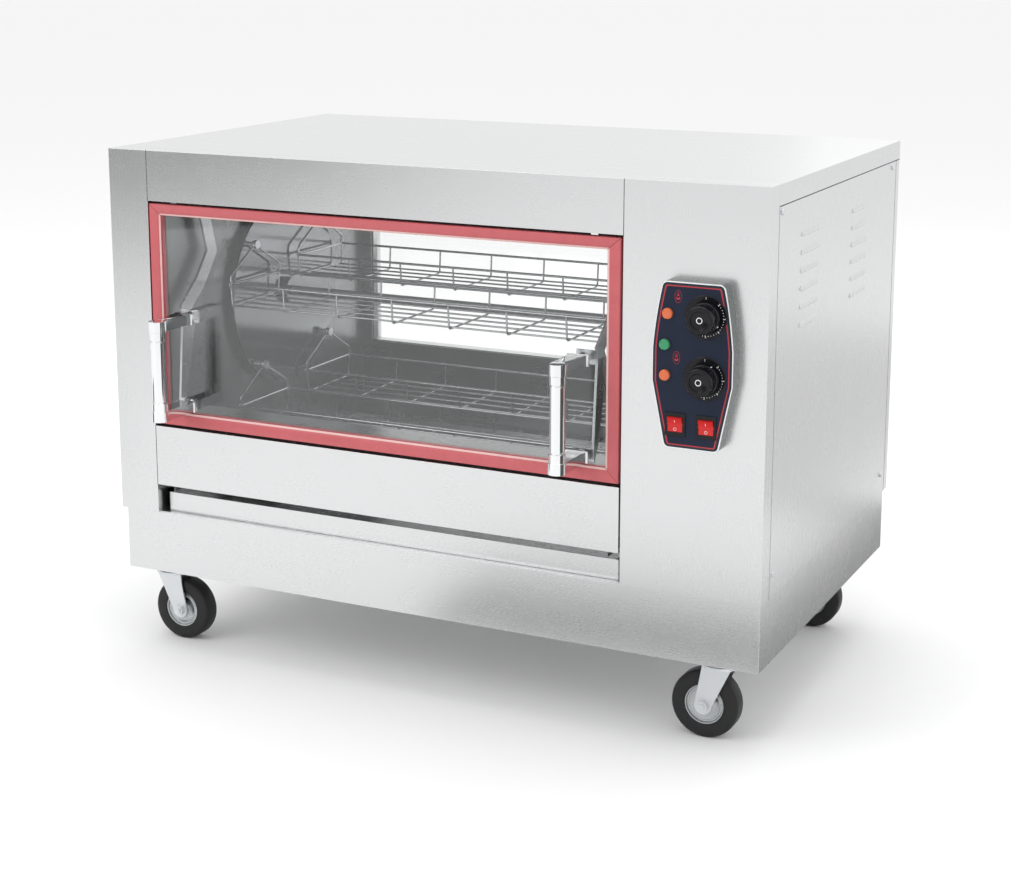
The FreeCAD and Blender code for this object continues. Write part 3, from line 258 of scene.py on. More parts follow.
def editAll(piece, mode="FACE"):
    activate(piece)
    bpy.ops.object.mode_set(mode="EDIT")
    bpy.ops.mesh.select_mode(type=mode)
    bpy.ops.mesh.select_all(action="SELECT")


def leaveEdit():
    bpy.ops.object.mode_set(mode="OBJECT")


def applyModifier(piece, kind, **settings):
    activate(piece)
    modifier = piece.modifiers.new(kind.title(), kind)
    for name, value in settings.items():
        setattr(modifier, name, value)
    bpy.ops.object.modifier_apply(modifier=modifier.name)


def settle(piece):
    # place, turn and scale go into the mesh
    activate(piece)
    bpy.ops.object.transform_apply(location=True, rotation=True, scale=True)


def finishPiece(piece, name, body, material, slot, smooth=30.0):
    settle(piece)
    piece.name = name
    piece.data.name = name
    piece.data.materials.clear()
    piece.data.materials.append(material)
    activate(piece)
    bpy.ops.object.shade_smooth_by_angle(angle=math.radians(smooth))
    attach(piece, body)
    return piece


def bodyOf(node):
    for body, members in frame["record"]["behaviour"]["bodies"].items():
        if node in members:
            return body


def slotOf(node):
    for row in frame["record"]["subparts"]:
        if row["node"] == node:
            return row["material_slot"]


def softCopy(node, material, width=0.5, segments=2):
    # the CAD shape with its sharp folds eased, standing for the node
    piece = nodes[node].copy()
    piece.data = nodes[node].data.copy()
    bpy.context.scene.collection.objects.link(piece)
    piece.parent = None
    piece.matrix_world.identity()
    editAll(piece)
    bpy.ops.mesh.remove_doubles(threshold=weldGap)
    bpy.ops.mesh.dissolve_limited(angle_limit=math.radians(0.5))
    leaveEdit()
    applyModifier(piece, "BEVEL", width=width * mm, segments=segments, limit_method="ANGLE",
                  angle_limit=math.radians(35), harden_normals=False, use_clamp_overlap=True)
    finishPiece(piece, node + "_finished", bodyOf(node), material, slotOf(node))
    applyModifier(piece, "WEIGHTED_NORMAL", keep_sharp=True)
    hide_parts(node)
    return piece


def dress(node, material):
    # the CAD node is shown as it is, in this material
    part = nodes[node]
    if not part.material_slots:
        part.data.materials.append(material)
    for slot in part.material_slots:
        slot.material = material


# Camera, floor and light

view = {"azimuth": 26.06, "elevation": 11.36, "place": (1.2982, -2.6456, 1.1183), "lens": 68.13,
        "shift": -0.1167, "sensor": 36.0, "reach": 50.0}


def makeCamera():
    azimuth = math.radians(view["azimuth"])
    elevation = math.radians(view["elevation"])
    look = Vector((-math.sin(azimuth) * math.cos(elevation), math.cos(azimuth) * math.cos(elevation),
                   -math.sin(elevation)))
    bpy.ops.object.camera_add(location=view["place"], rotation=look.to_track_quat("-Z", "Y").to_euler())
    camera = bpy.context.object
    camera.data.lens = view["lens"]
    camera.data.sensor_fit = "HORIZONTAL"
    camera.data.sensor_width = view["sensor"]
    camera.data.shift_y = view["shift"]
    camera.data.clip_end = view["reach"]
    bpy.context.scene.camera = camera


studio = {"floor": 300.0, "tone": (0.92, 0.92, 0.92), "sky": 1.0}
lamps = [
    {"name": "keyPanel", "place": (-2.6, -3.4, 3.4), "aim": (0, 0, 0.4), "size": 2.6, "power": 45.0},
    {"name": "sidePanel", "place": (3.6, -0.6, 2.2), "aim": (0.5, 0, 0.5), "size": 2.4, "power": 12.0},
    {"name": "backPanel", "place": (0.4, 3.6, 2.4), "aim": (0, 0.3, 0.5), "size": 2.6, "power": 6.0},
    {"name": "topPanel", "place": (0.2, 0.3, 4.2), "aim": (0, 0, 0.8), "size": 3.0, "power": 45.0},
]
# grey boards round the studio, seen only as reflections in the metal
boards = [
    {"name": "farLeftBoard", "place": (-3.0, -3.6, 0.9), "aim": (0, -0.3, 0.9),
     "wide": 1.9, "tall": 1.7, "tone": 0.16},
    {"name": "leftFlag", "place": (-1.15, -0.62, 0.14), "aim": (0, -0.5, 0.14),
     "wide": 0.4, "tall": 0.28, "tone": 0.20},
    {"name": "rightFlag", "place": (1.42, -0.30, 0.15), "aim": (0, -0.3, 0.15),
     "wide": 1.2, "tall": 0.3, "tone": 0.10},
    {"name": "lowFrontBoard", "place": (0.24, -0.69, 0.004), "aim": (0.24, -0.69, 2.0),
     "wide": 0.8, "tall": 0.27, "tone": 0.25},
    {"name": "lowSideBoard", "place": (0.65, 0.45, 0.004), "aim": (0.65, 0.45, 2.0),
     "wide": 0.18, "tall": 1.1, "tone": 0.30},
    {"name": "farSideBoard", "place": (1.30, 1.75, 0.004), "aim": (1.30, 1.75, 2.0),
     "wide": 1.0, "tall": 1.8, "tone": 0.72},
]


def turnToAim(row, axis):
    # turn that points an axis from the row's place to its aim
    return (Vector(row["aim"]) - Vector(row["place"])).to_track_quat(axis, "Y").to_euler()


def makeStudio():
    bpy.context.scene.view_settings.view_transform = "Standard"
    bpy.ops.mesh.primitive_plane_add(size=studio["floor"], location=(0, 0, 0))
    floor = bpy.context.object
    floor.name = "studioFloor"
    paper = Finish("paperFloor", Specular_IOR_Level=0.2)
    fibre = paper.noise(90.0, 4.0)
    tone = studio["tone"]
    paper.set("Base Color", paper.blend([channel * 0.985 for channel in tone], tone, fibre))
    paper.set("Roughness", 0.75 + fibre * 0.1)
    floor.data.materials.append(paper.material)
    world = bpy.data.worlds.new("studioWorld")
    bpy.context.scene.world = world
    world.use_nodes = True
    world.node_tree.nodes["Background"].inputs[0].default_value = (1, 1, 1, 1)
    world.node_tree.nodes["Background"].inputs[1].default_value = studio["sky"]
    for lamp in lamps:
        bpy.ops.object.light_add(type="AREA", location=lamp["place"], rotation=turnToAim(lamp, "-Z"))
        light = bpy.context.object
        light.name = lamp["name"]
        light.data.size = lamp["size"]
        light.data.energy = lamp["power"]
    for row in boards:
        bpy.ops.mesh.primitive_plane_add(size=1, location=row["place"], rotation=turnToAim(row, "Z"))
        board = bpy.context.object
        board.name = row["name"]
        board.scale = (row["wide"], row["tall"], 1)
        felt = Finish(row["name"] + "Felt", Base_Color=(0, 0, 0), Roughness=1.0, Specular_IOR_Level=0.0,
                      Emission_Strength=1.0)
        felt.set("Emission Color", [row["tone"]] * 3)
        board.data.materials.append(felt.material)
        board.visible_camera = False
        board.visible_shadow = False
        board.visible_diffuse = False


makeCamera()
makeStudio()
print("camera and studio ready")


# Cabinet and chamber sheet metal

for node in ("header", "lower_front_panel", "top_cover", "plinth", "base_deck", "drip_tray"):
    softCopy(node, steelPanel)
for node in ("left_column", "control_column", "left_side_panel", "right_side_panel", "rear_panel"):
    softCopy(node, steelUpright)
# the chamber sheets get the darkened liner steel: painted shade
for node in ("chamber_left_wall", "chamber_right_wall", "chamber_roof", "chamber_rear_wall", "front_sill"):
    dress(node, shadedSteelLiner)
print("sheet metal dressed")

for node, material in (
        ("rear_window_glass", clearGlass), ("rear_window_seal", blackSealAndGapShade), ("insulation", woolMat),
        ("upper_heater", heaterSteel), ("lower_heater", heaterSteel), ("chamber_lamp", clearGlass),
        ("gear_motor", motorPaint), ("shaft_bushes", bronze), ("hinge_brackets", zinc),
        ("cable_gland", mattBlack), ("panel_screws", zinc), ("caster_plates", zinc),
        ("door_glass", clearGlass), ("door_bolts", chrome), ("thermostats", mattBlack),
        ("rotor_shaft", zinc), ("rotor_discs", steelDisc), ("basket_pins", zinc),
        ):
    dress(node, material)
for corner in ("front_left", "front_right", "rear_left", "rear_right"):
    softCopy(corner + "_fork", zinc, 0.6)
for side in ("left", "right"):
    softCopy("hinge_arm_" + side, armSteel)


# Modelling helpers

def faceOutwards(piece):
    editAll(piece)
    bpy.ops.mesh.normals_make_consistent(inside=False)
    leaveEdit()


def pickFaces(piece, test):
    # selects the faces whose centre and normal pass the test, and stays in edit mode
    activate(piece)
    bpy.ops.object.mode_set(mode="EDIT")
    bpy.ops.mesh.select_mode(type="FACE")
    bpy.ops.mesh.select_all(action="DESELECT")
    leaveEdit()
    for face in piece.data.polygons:
        face.select = test(face.center, face.normal)
    bpy.ops.object.mode_set(mode="EDIT")


def paintFaces(piece, material, test):
    # gives the faces that pass the test a second material
    piece.data.materials.append(material)
    pickFaces(piece, test)
    piece.active_material_index = 1
    bpy.ops.object.material_slot_assign()
    leaveEdit()


def meshFrom(name, points, faces=(), edges=()):
    mesh = bpy.data.meshes.new(name)
    mesh.from_pydata([Vector(point) for point in points], edges, faces)
    piece = bpy.data.objects.new(name, mesh)
    bpy.context.scene.collection.objects.link(piece)
    return piece


def lathe(name, profile, centre, axis, steps=48):
    # profile points are (radius, distance along the axis) in millimetres; the axis is "x", "y" or "z"
    along = "xyz".index(axis)
    across = (along + 1) % 3
    points = []
    for radius, distance in profile:
        point = list(centre)
        point[along] += distance * mm
        point[across] += radius * mm
        points.append(point)
    piece = meshFrom(name, points, edges=[(i, i + 1) for i in range(len(points) - 1)])
    editAll(piece, "VERT")
    direction = [0.0, 0.0, 0.0]
    direction[along] = 1.0
    bpy.ops.mesh.spin(steps=steps, angle=2 * math.pi, center=centre, axis=direction)
    bpy.ops.mesh.select_all(action="SELECT")
    bpy.ops.mesh.remove_doubles(threshold=weldGap / 2)
    bpy.ops.mesh.normals_make_consistent(inside=False)
    leaveEdit()
    return piece


def tubeAlong(name, points, radius, sides=12, closed=False, rounding=0.0):
    # a wire through the points, with its corners rounded, made a mesh
    path = roundedPath(points, rounding, 5, closed) if rounding else [Vector(point) for point in points]
    curve = bpy.data.curves.new(name, "CURVE")
    curve.dimensions = "3D"
    curve.bevel_depth = radius
    curve.bevel_resolution = max(1, sides // 4 - 1)
    curve.use_fill_caps = not closed
    spline = curve.splines.new("POLY")
    spline.points.add(len(path) - 1)
    for place, point in zip(spline.points, path):
        place.co = (*point, 1.0)
    spline.use_cyclic_u = closed
    piece = bpy.data.objects.new(name, curve)
    bpy.context.scene.collection.objects.link(piece)
    activate(piece)
    bpy.ops.object.convert(target="MESH")
    return bpy.context.object


def roundedPath(points, radius, steps, closed=False):
    # the points with each corner replaced by a curve of so many steps
    path = []
    points = [Vector(point) for point in points]
    count = len(points)
    for number, corner in enumerate(points):
        if not closed and number in (0, count - 1):
            path.append(corner)
            continue
        before = points[number - 1]
        after = points[(number + 1) % count]
        toBefore = (before - corner).normalized()
        toAfter = (after - corner).normalized()
        turn = math.pi - toBefore.angle(toAfter)
        if turn < 0.05:
            path.append(corner)
            continue
        reach = min(radius * math.tan(turn / 2), (before - corner).length * 0.45,
                    (after - corner).length * 0.45)
        start = corner + toBefore * reach
        end = corner + toAfter * reach
        for step in range(steps + 1):
            t = step / steps
            path.append(start * (1 - t) ** 2 + corner * 2 * t * (1 - t) + end * t * t)
    return path


def joinPieces(pieces):
    deselectAll()
    for piece in pieces:
        piece.select_set(True)
    bpy.context.view_layer.objects.active = pieces[0]
    bpy.ops.object.join()
    return pieces[0]


def block(place, size, turn=(0, 0, 0)):
    bpy.ops.mesh.primitive_cube_add(size=1, location=place, rotation=turn)
    piece = bpy.context.object
    piece.scale = size
    settle(piece)
    return piece


def disc(place, radius, thick, sides):
    # a flat disc that looks along -Y
    bpy.ops.mesh.primitive_cylinder_add(vertices=sides, radius=radius, depth=thick, location=place,
                                        rotation=(math.pi / 2, 0, 0))
    return bpy.context.object


def middle(node):
    low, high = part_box(node)
    return (Vector(low) + Vector(high)) / 2


def solidRow(node, axis):
    # lowest and highest corners of each loose solid of a node, in order along an axis
    part = nodes[node]
    shape = bmesh.new()
    shape.from_mesh(part.data)
    bmesh.ops.remove_doubles(shape, verts=shape.verts, dist=weldGap)
    seen = set()
    boxes = []
    for seed in shape.verts:
        if seed in seen:
            continue
        stack = [seed]
        seen.add(seed)
        members = []
        while stack:
            corner = stack.pop()
            members.append(corner.co)
            for edge in corner.link_edges:
                other = edge.other_vert(corner)
                if other not in seen:
                    seen.add(other)
                    stack.append(other)
        low = Vector([min(point[i] for point in members) for i in range(3)])
        high = Vector([max(point[i] for point in members) for i in range(3)])
        boxes.append((low, high))
    shape.free()
    return sorted(boxes, key=lambda pair: pair[0]["xyz".index(axis)])


# Door seal

sealShape = {"side": 20.0, "top": 17.0, "bottom": 21.0, "mitreGap": 0.25, "lipDepth": 12.9,
             "profile": [(0.0, 0.0), (0.0, 12.6), (0.03, 13.6), (0.1, 14.0), (0.74, 14.0), (0.8, 13.5),
                         (0.84, 12.6), (1.0, 12.2), (1.0, 0.0)]}


def doorSeal():
    # four mitred strips; each has a flat face, a rounded outer edge and a lower lip round the glass
    low, high = (Vector(corner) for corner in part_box("door_seal"))
    gap = sealShape["mitreGap"] * mm
    sides = [("left", (0, 0), (0, 1)), ("top", (0, 1), (1, 1)), ("right", (1, 1), (1, 0)),
             ("bottom", (1, 0), (0, 0))]
    strips = []
    for side, first, last in sides:
        points = []
        for end, other in ((first, last), (last, first)):
            for inset, proud in sealShape["profile"]:
                fromSide, fromTop, fromFoot = (inset * sealShape[part] * mm
                                               for part in ("side", "top", "bottom"))
                x = low.x + fromSide if end[0] == 0 else high.x - fromSide
                z = low.z + fromFoot if end[1] == 0 else high.z - fromTop
                points.append((x + (other[0] - end[0]) * gap, high.y - proud * mm,
                               z + (other[1] - end[1]) * gap))
        count = len(sealShape["profile"])
        faces = [(n, (n + 1) % count, count + (n + 1) % count, count + n) for n in range(count)]
        faces += [tuple(range(count)), tuple(range(count, 2 * count))]
        strip = meshFrom("seal_" + side, points, faces)
        faceOutwards(strip)
        applyModifier(strip, "BEVEL", width=0.35 * mm, segments=2, limit_method="ANGLE",
                      angle_limit=math.radians(50))
        strips.append(strip)
    seal = finishPiece(joinPieces(strips), "door_seal_strips", "door", redSeal, "red_seal", 35)
    lip = high.y - sealShape["lipDepth"] * mm
    paintFaces(seal, sealLip, lambda centre, normal: normal.y < -0.9 and centre.y > lip)
    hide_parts("door_seal")


# Baskets

basketWires = {"bays": 7, "rows": 5, "rail": 70.5, "railDrop": 55.0, "floor": 67.5, "floorDrop": 93.0,
               "floorSpan": 0.93, "legDrop": 40.5, "legTop": 4.6, "legTopDrop": 2.6, "legBend": 9.0,
               "frameWire": 4.0, "wire": 3.0, "bend": 7.0, "eye": 7.05, "eyeHalf": 2.0, "bore": 4.05,
               "hook": 4.2}


def wireBasket(pin, left, right):
    # one basket of bent and welded wires that hangs from its two eyes
    size = basketWires
    thick = size["frameWire"] * mm / 2
    thin = size["wire"] * mm / 2

    def spot(x, y, z):
        return (x, pin.y + y * mm, pin.z + z * mm)

    wires = []
    for number in range(size["bays"] + 1):
        x = left + (right - left) * number / size["bays"]
        bent = [spot(x, -size["rail"], -size["railDrop"]), spot(x, -size["floor"], -size["floorDrop"]),
                spot(x, size["floor"], -size["floorDrop"]), spot(x, size["rail"], -size["railDrop"])]
        wires.append(tubeAlong("rib", bent, thin, rounding=size["bend"] * mm))
    for number in range(size["rows"]):
        y = size["floor"] * size["floorSpan"] * (2 * number / (size["rows"] - 1) - 1)
        z = size["wire"] * 0.9 - size["floorDrop"]
        wires.append(tubeAlong("floorWire", [spot(left, y, z), spot(right, y, z)], thin))
    for sign in (-1, 1):
        y = sign * size["rail"]
        wires.append(tubeAlong("rail", [spot(left, y, -size["railDrop"]), spot(right, y, -size["railDrop"])],
                               thick))
    bore, eye, half = size["bore"], size["eye"], size["eyeHalf"]
    ring = [(bore, 0.4 - half), (bore + 0.4, -half), (eye - 0.6, -half), (eye, 0.8 - half), (eye, half - 0.8),
            (eye - 0.6, half), (bore + 0.4, half), (bore, half - 0.4), (bore, 0.4 - half)]
    for x in (left, right):
        wires.append(tubeAlong("endBar", [spot(x, -size["rail"], -size["railDrop"]),
                                          spot(x, size["rail"], -size["railDrop"])], thick))
        for sign in (-1, 1):
            side = sign * size["rail"]
            leg = [spot(x, side, -size["railDrop"]), spot(x, side, -size["legDrop"]),
                   spot(x, sign * size["legTop"], -size["legTopDrop"])]
            wires.append(tubeAlong("leg", leg, thick, rounding=size["legBend"] * mm))
            hook = [spot(x, side + size["hook"] * math.cos(math.radians(degrees)),
                         size["hook"] * math.sin(math.radians(degrees)) - size["railDrop"])
                    for degrees in range(0, 360, 30)]
            wires.append(tubeAlong("hook", hook, thin, closed=True))
        wires.append(lathe("eye", ring, (x, pin.y, pin.z), "x", 24))
    return joinPieces(wires)


def baskets():
    places = ("rear_upper", "front_upper", "front_lower", "rear_lower")
    pins = {place: Vector(joints[place + "_basket_swing"]["pos_m"]) for place in places}
    low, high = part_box("basket_rear_upper")
    half = basketWires["frameWire"] * mm / 2
    first = wireBasket(pins[places[0]], low[0] + half, high[0] - half)
    for place in places:
        basket = first
        if place != places[0]:
            basket = first.copy()
            basket.data = first.data.copy()
            bpy.context.scene.collection.objects.link(basket)
            basket.location = pins[place] - pins[places[0]]
        finishPiece(basket, "basket_%s_wires" % place, "basket_" + place, brightWire, "bright_wire", 50)
        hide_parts("basket_" + place)


# Wheels

wheel = {"tyre": [(28.8, -12.6), (30.2, -14.4), (33.0, -15.0), (43.5, -15.0), (46.8, -14.2), (49.2, -12.2),
                  (50.0, -9.5), (50.0, 9.5), (49.2, 12.2), (46.8, 14.2), (43.5, 15.0), (33.0, 15.0),
                  (30.2, 14.4), (28.8, 12.6), (28.8, -12.6)],
         "rim": [(5.2, -16.9), (10.6, -16.9), (11.6, -16.0), (11.8, -12.4), (13.5, -11.4), (20.5, -11.2),
                 (22.0, -12.0), (23.0, -12.1), (24.0, -11.2), (26.0, -11.4), (27.6, -13.6), (29.0, -13.8),
                 (29.0, 13.8), (27.6, 13.6), (26.0, 11.4), (24.0, 11.2), (23.0, 12.1), (22.0, 12.0),
                 (20.5, 11.2), (13.5, 11.4), (11.8, 12.4), (11.6, 16.0), (10.6, 16.9), (5.2, 16.9),
                 (5.2, -16.9)]}


def wheels():
    for corner in ("front_left", "front_right", "rear_left", "rear_right"):
        name = corner + "_wheel"
        centre = middle(name)
        tyre = lathe(name + "_tyre", wheel["tyre"], centre, "y", 64)
        finishPiece(tyre, name + "_rubber", name, tyreRubber, "black_tyre", 40)
        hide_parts(name)
        rim = lathe(name + "_rim", wheel["rim"], centre, "y", 64)
        finishPiece(rim, name + "_hub", name, wheelHub, "zinc_plate", 35)


# Seams between the sheets, darkened with strips of painted shade

seams = {"wide": 1.1, "deep": 0.4, "proud": 0.04, "sunk": 0.3, "offEdge": 0.5}


def cornersInMm(node):
    return [[value / mm for value in corner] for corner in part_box(node)]


def seamLines():
    # dark strips of painted shade where one sheet meets the next, for the shade in the gap; each row is a plane,
    # the two ends, and the width axis
    header, cover, sidePanel = (cornersInMm(node) for node in ("header", "top_cover", "right_side_panel"))
    leftColumn, rightColumn = cornersInMm("left_column"), cornersInMm("control_column")
    frontPanel = cornersInMm("lower_front_panel")
    front, foot, top, rearEdge = header[0][1], leftColumn[0][2], cover[1][2], cover[1][1]
    left, right, joinLeft, joinRight = leftColumn[0][0], rightColumn[1][0], header[0][0], header[1][0]
    lowHead, lowPanel, highPanel = header[0][2], frontPanel[0][2], frontPanel[1][2]
    sideFront = sidePanel[0][1] - seams["offEdge"]
    sideRear, sideTop = sidePanel[1][1] + seams["offEdge"], sidePanel[1][2] + seams["offEdge"]
    half = seams["wide"] / 2
    rows = [(1, front, (joinLeft, lowHead), (joinLeft, top - half)),
            (1, front, (joinRight, lowHead), (joinRight, top - half)),
            (1, front, (joinLeft, lowPanel), (joinLeft, highPanel))]
    for plane in (left, right):
        rows.append((0, plane, (sideFront, foot), (sideFront, sideTop)))
        rows.append((0, plane, (sideRear, foot), (sideRear, sideTop)))
        rows.append((0, plane, (sideFront, sideTop), (rearEdge, sideTop)))
    rows.append((2, top - seams["sunk"], (left, sideFront), (right, sideFront)))
    strips = []
    for axis, plane, start, end in rows:
        away = -1 if plane in (front, left) else 1
        flat = [(start[0] - half, start[1] - half), (start[0] + half, start[1] - half),
                (end[0] + half, end[1] + half), (end[0] - half, end[1] + half)]
        if abs(start[0] - end[0]) > abs(start[1] - end[1]):
            flat = [(start[0], start[1] - half), (end[0], end[1] - half), (end[0], end[1] + half),
                    (start[0], start[1] + half)]
        points = []
        for depth in (plane + away * seams["proud"], plane - away * seams["deep"]):
            for across, up in flat:
                point = {0: (depth, across, up), 1: (across, depth, up), 2: (across, up, depth)}[axis]
                points.append([value * mm for value in point])
        faces = [(0, 1, 2, 3), (4, 5, 6, 7), (0, 1, 5, 4), (1, 2, 6, 5), (2, 3, 7, 6), (3, 0, 4, 7)]
        strip = meshFrom("seam", points, faces)
        faceOutwards(strip)
        strips.append(strip)
    finishPiece(joinPieces(strips), "panel_seam_shade", "cabinet", seamShade, "black_plastic")


gapShadeStrip = {"deep": 1.8, "behind": 0.2, "play": 0.2, "armRoom": 3.5, "armThick": 4.0}


def doorGapShadeStrips():
    # dark strips at the bottom of the gap between the door and the sheets round it: painted shade for the dark of
    # the gap
    seal = [Vector(corner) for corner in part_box("door_seal")]
    left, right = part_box("left_column")[1][0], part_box("control_column")[0][0]
    top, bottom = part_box("header")[0][2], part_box("lower_front_panel")[1][2]
    back = seal[1].y - gapShadeStrip["behind"] * mm
    play = gapShadeStrip["play"] * mm
    room, thick = gapShadeStrip["armRoom"] * mm, gapShadeStrip["armThick"] * mm
    armLeft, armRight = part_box("hinge_arm_left")[0][0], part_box("hinge_arm_right")[1][0]
    rows = [(left, seal[0].x - play, bottom, top), (seal[1].x + play, right, bottom, top),
            (left, right, bottom + play, seal[0].z - play)]
    # the top strip stops short of the hinge arms, which swing through the gap
    for start, end in ((left, armLeft - room), (armLeft + thick + room, armRight - thick - room),
                       (armRight + room, right)):
        rows.append((start, end, seal[1].z + play, top - play))
    strips = []
    deep = gapShadeStrip["deep"] * mm
    for start, end, foot, head in rows:
        strip = block(((start + end) / 2, back - deep / 2, (foot + head) / 2),
                      (end - start, deep, head - foot))
        applyModifier(strip, "BEVEL", width=0.3 * mm, segments=2)
        strips.append(strip)
    finishPiece(joinPieces(strips), "door_gap_shade_strips", "cabinet", blackSealAndGapShade, "black_seal")


handleBar = {"reach": 65.0, "footHalf": 17.0, "arm": 16.0, "cut": 0.4, "grip": 11.1, "eye": 12.9,
             "collar": 12.0, "collarTall": 13.0, "groove": 9.8}


def doorHandles():
    # cast arms as in the CAD; each upright bar is turned, with a collar and a fine groove at either end
    low, high = (Vector(corner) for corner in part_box("door_handles"))
    arms = softCopy("door_handles", chrome, 0.9, 3)
    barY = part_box("header")[0][1] - handleBar["reach"] * mm
    places = (low.x + handleBar["footHalf"] * mm, high.x - handleBar["footHalf"] * mm)
    reach = handleBar["eye"] * mm * 0.95
    inward = (handleBar["arm"] + handleBar["cut"]) * mm
    lowGrip, highGrip = low.z + inward, high.z - inward

    def onGrip(centre, normal):
        near = min(abs(centre.x - x) for x in places)
        return near < reach and abs(centre.y - barY) < reach and lowGrip < centre.z < highGrip

    pickFaces(arms, onGrip)
    bpy.ops.mesh.delete(type="FACE")
    leaveEdit()
    tall = (high.z - low.z) / mm
    eye, collar, groove, grip = (handleBar[part] for part in ("eye", "collar", "groove", "grip"))
    arm, ring = handleBar["arm"], handleBar["collarTall"]
    half = [(0.0, -0.02), (eye - 2.0, -0.02), (eye - 0.5, 0.5), (eye, 1.6), (eye, arm - 0.8),
            (eye - 0.5, arm + 0.2), (collar, arm + 0.5), (collar, arm + ring - 0.8),
            (collar - 0.7, arm + ring), (groove, arm + ring + 0.3), (groove, arm + ring + 1.5),
            (grip - 0.3, arm + ring + 1.8), (grip, arm + ring + 2.4), (grip, arm + ring + 3.4)]
    profile = half + [(radius, tall - height) for radius, height in reversed(half)]
    for side, x in zip(("left", "right"), places):
        bar = lathe("bar", profile, Vector((x, barY, low.z)), "z", 64)
        finishPiece(bar, side + "_handle_bar", "door", chrome, "chrome", 20)
        applyModifier(bar, "WEIGHTED_NORMAL", keep_sharp=True)


doorSeal()
doorGapShadeStrips()
doorHandles()
baskets()
wheels()
seamLines()
print("door seal, baskets, wheels and seams finished")


# Control box

controlBox = {"topWidth": 88.0, "waistWidth": 115.0, "footWidth": 78.0, "waistTop": 580.0,
              "waistBottom": 535.0, "bow": 0.48, "corner": 9.0, "lineInset": 5.2, "lineWidth": 1.4,
              "darkWidth": 1.2, "printHeight": 0.12}


def controlOutline(inset):
    # outline of the control box in the XZ plane: bowed upper flanks, straight lower flanks, rounded corners
    low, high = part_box("control_bezel")
    centre = (low[0] + high[0]) / 2
    top = high[2] - inset * mm
    foot = low[2] + inset * mm
    halfTop = (controlBox["topWidth"] / 2 - inset) * mm
    halfWaist = (controlBox["waistWidth"] / 2 - inset) * mm
    halfFoot = (controlBox["footWidth"] / 2 - inset) * mm
    waistTop = controlBox["waistTop"] * mm
    waistBottom = controlBox["waistBottom"] * mm
    steps, bow = 10, controlBox["bow"]
    flank = []
    for step in range(steps + 1):
        t = step / steps
        bulge = (1 + bow) * t - bow * t * t
        flank.append((halfTop + (halfWaist - halfTop) * bulge, top + (waistTop - top) * t))
    right = flank + [(halfWaist, waistBottom), (halfFoot, foot)]
    loop = [(centre + x, 0.0, z) for x, z in right] + [(centre - x, 0.0, z) for x, z in reversed(right)]
    return roundedPath(loop, max(controlBox["corner"] - inset, 1.5) * mm, 6, closed=True)


def outlineBand(name, inset, width, y, height, material):
    # a raised printed band that follows the outline
    outer = controlOutline(inset)
    inner = controlOutline(inset + width)
    count = len(outer)
    points = [(p.x, y, p.z) for p in outer] + [(p.x, y, p.z) for p in inner]
    faces = []
    for number in range(count):
        after = (number + 1) % count
        faces.append((number, after, count + after, count + number))
    band = meshFrom(name, points, faces)
    editAll(band)
    bpy.ops.mesh.extrude_region_move(TRANSFORM_OT_translate={"value": (0, -height * mm, 0)})
    bpy.ops.mesh.select_all(action="SELECT")
    bpy.ops.mesh.normals_make_consistent(inside=False)
    leaveEdit()
    return finishPiece(band, name, "cabinet", material, "navy_plate")


def controlPanel():
    bezel = softCopy("control_bezel", bezelSteel, 0.6, 3)
    # the bezel's side flanks get the darker copy of its steel: painted shade
    paintFaces(bezel, bezelFlankShade, lambda centre, normal: abs(normal.y) < 0.35)
    softCopy("control_plate", navyPlate, 0.2, 1)
    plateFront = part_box("control_plate")[0][1]
    inset, wide, height = (controlBox[part] for part in ("lineInset", "darkWidth", "printHeight"))
    outlineBand("plate_red_line", inset, controlBox["lineWidth"], plateFront, height, redPrint)
    outlineBand("plate_dark_line", inset - wide - 0.3, wide, plateFront, height * 0.6, mattBlack)


dial = {"ring": 30.0, "inner": 21.6, "numeral": 4.8, "numeralAt": 25.6, "dotAt": 25.2, "dot": 0.5,
        "numerals": 7, "step": 45.0, "dotsFrom": 1, "dotsBetween": 4, "bore": 5.0, "printThick": 0.12}


def numeral(text, centre, turn):
    # a numeral laid on a face that looks along -Y, turned about its centre
    bpy.ops.object.text_add(location=(0, 0, 0))
    mark = bpy.context.object
    mark.data.body = text
    mark.data.size = dial["numeral"] * mm
    mark.data.align_x = "CENTER"
    mark.data.align_y = "CENTER"
    mark.data.extrude = dial["printThick"] * mm / 2
    mark.data.resolution_u = 4
    activate(mark)
    bpy.ops.object.convert(target="MESH")
    mark = bpy.context.object
    mark.rotation_euler = (math.pi / 2, turn, 0)
    mark.location = centre
    return mark


def onDial(centre, y, radius, turn):
    # place on a dial at a turn from the top
    return (centre.x + radius * mm * math.sin(turn), y, centre.z + radius * mm * math.cos(turn))


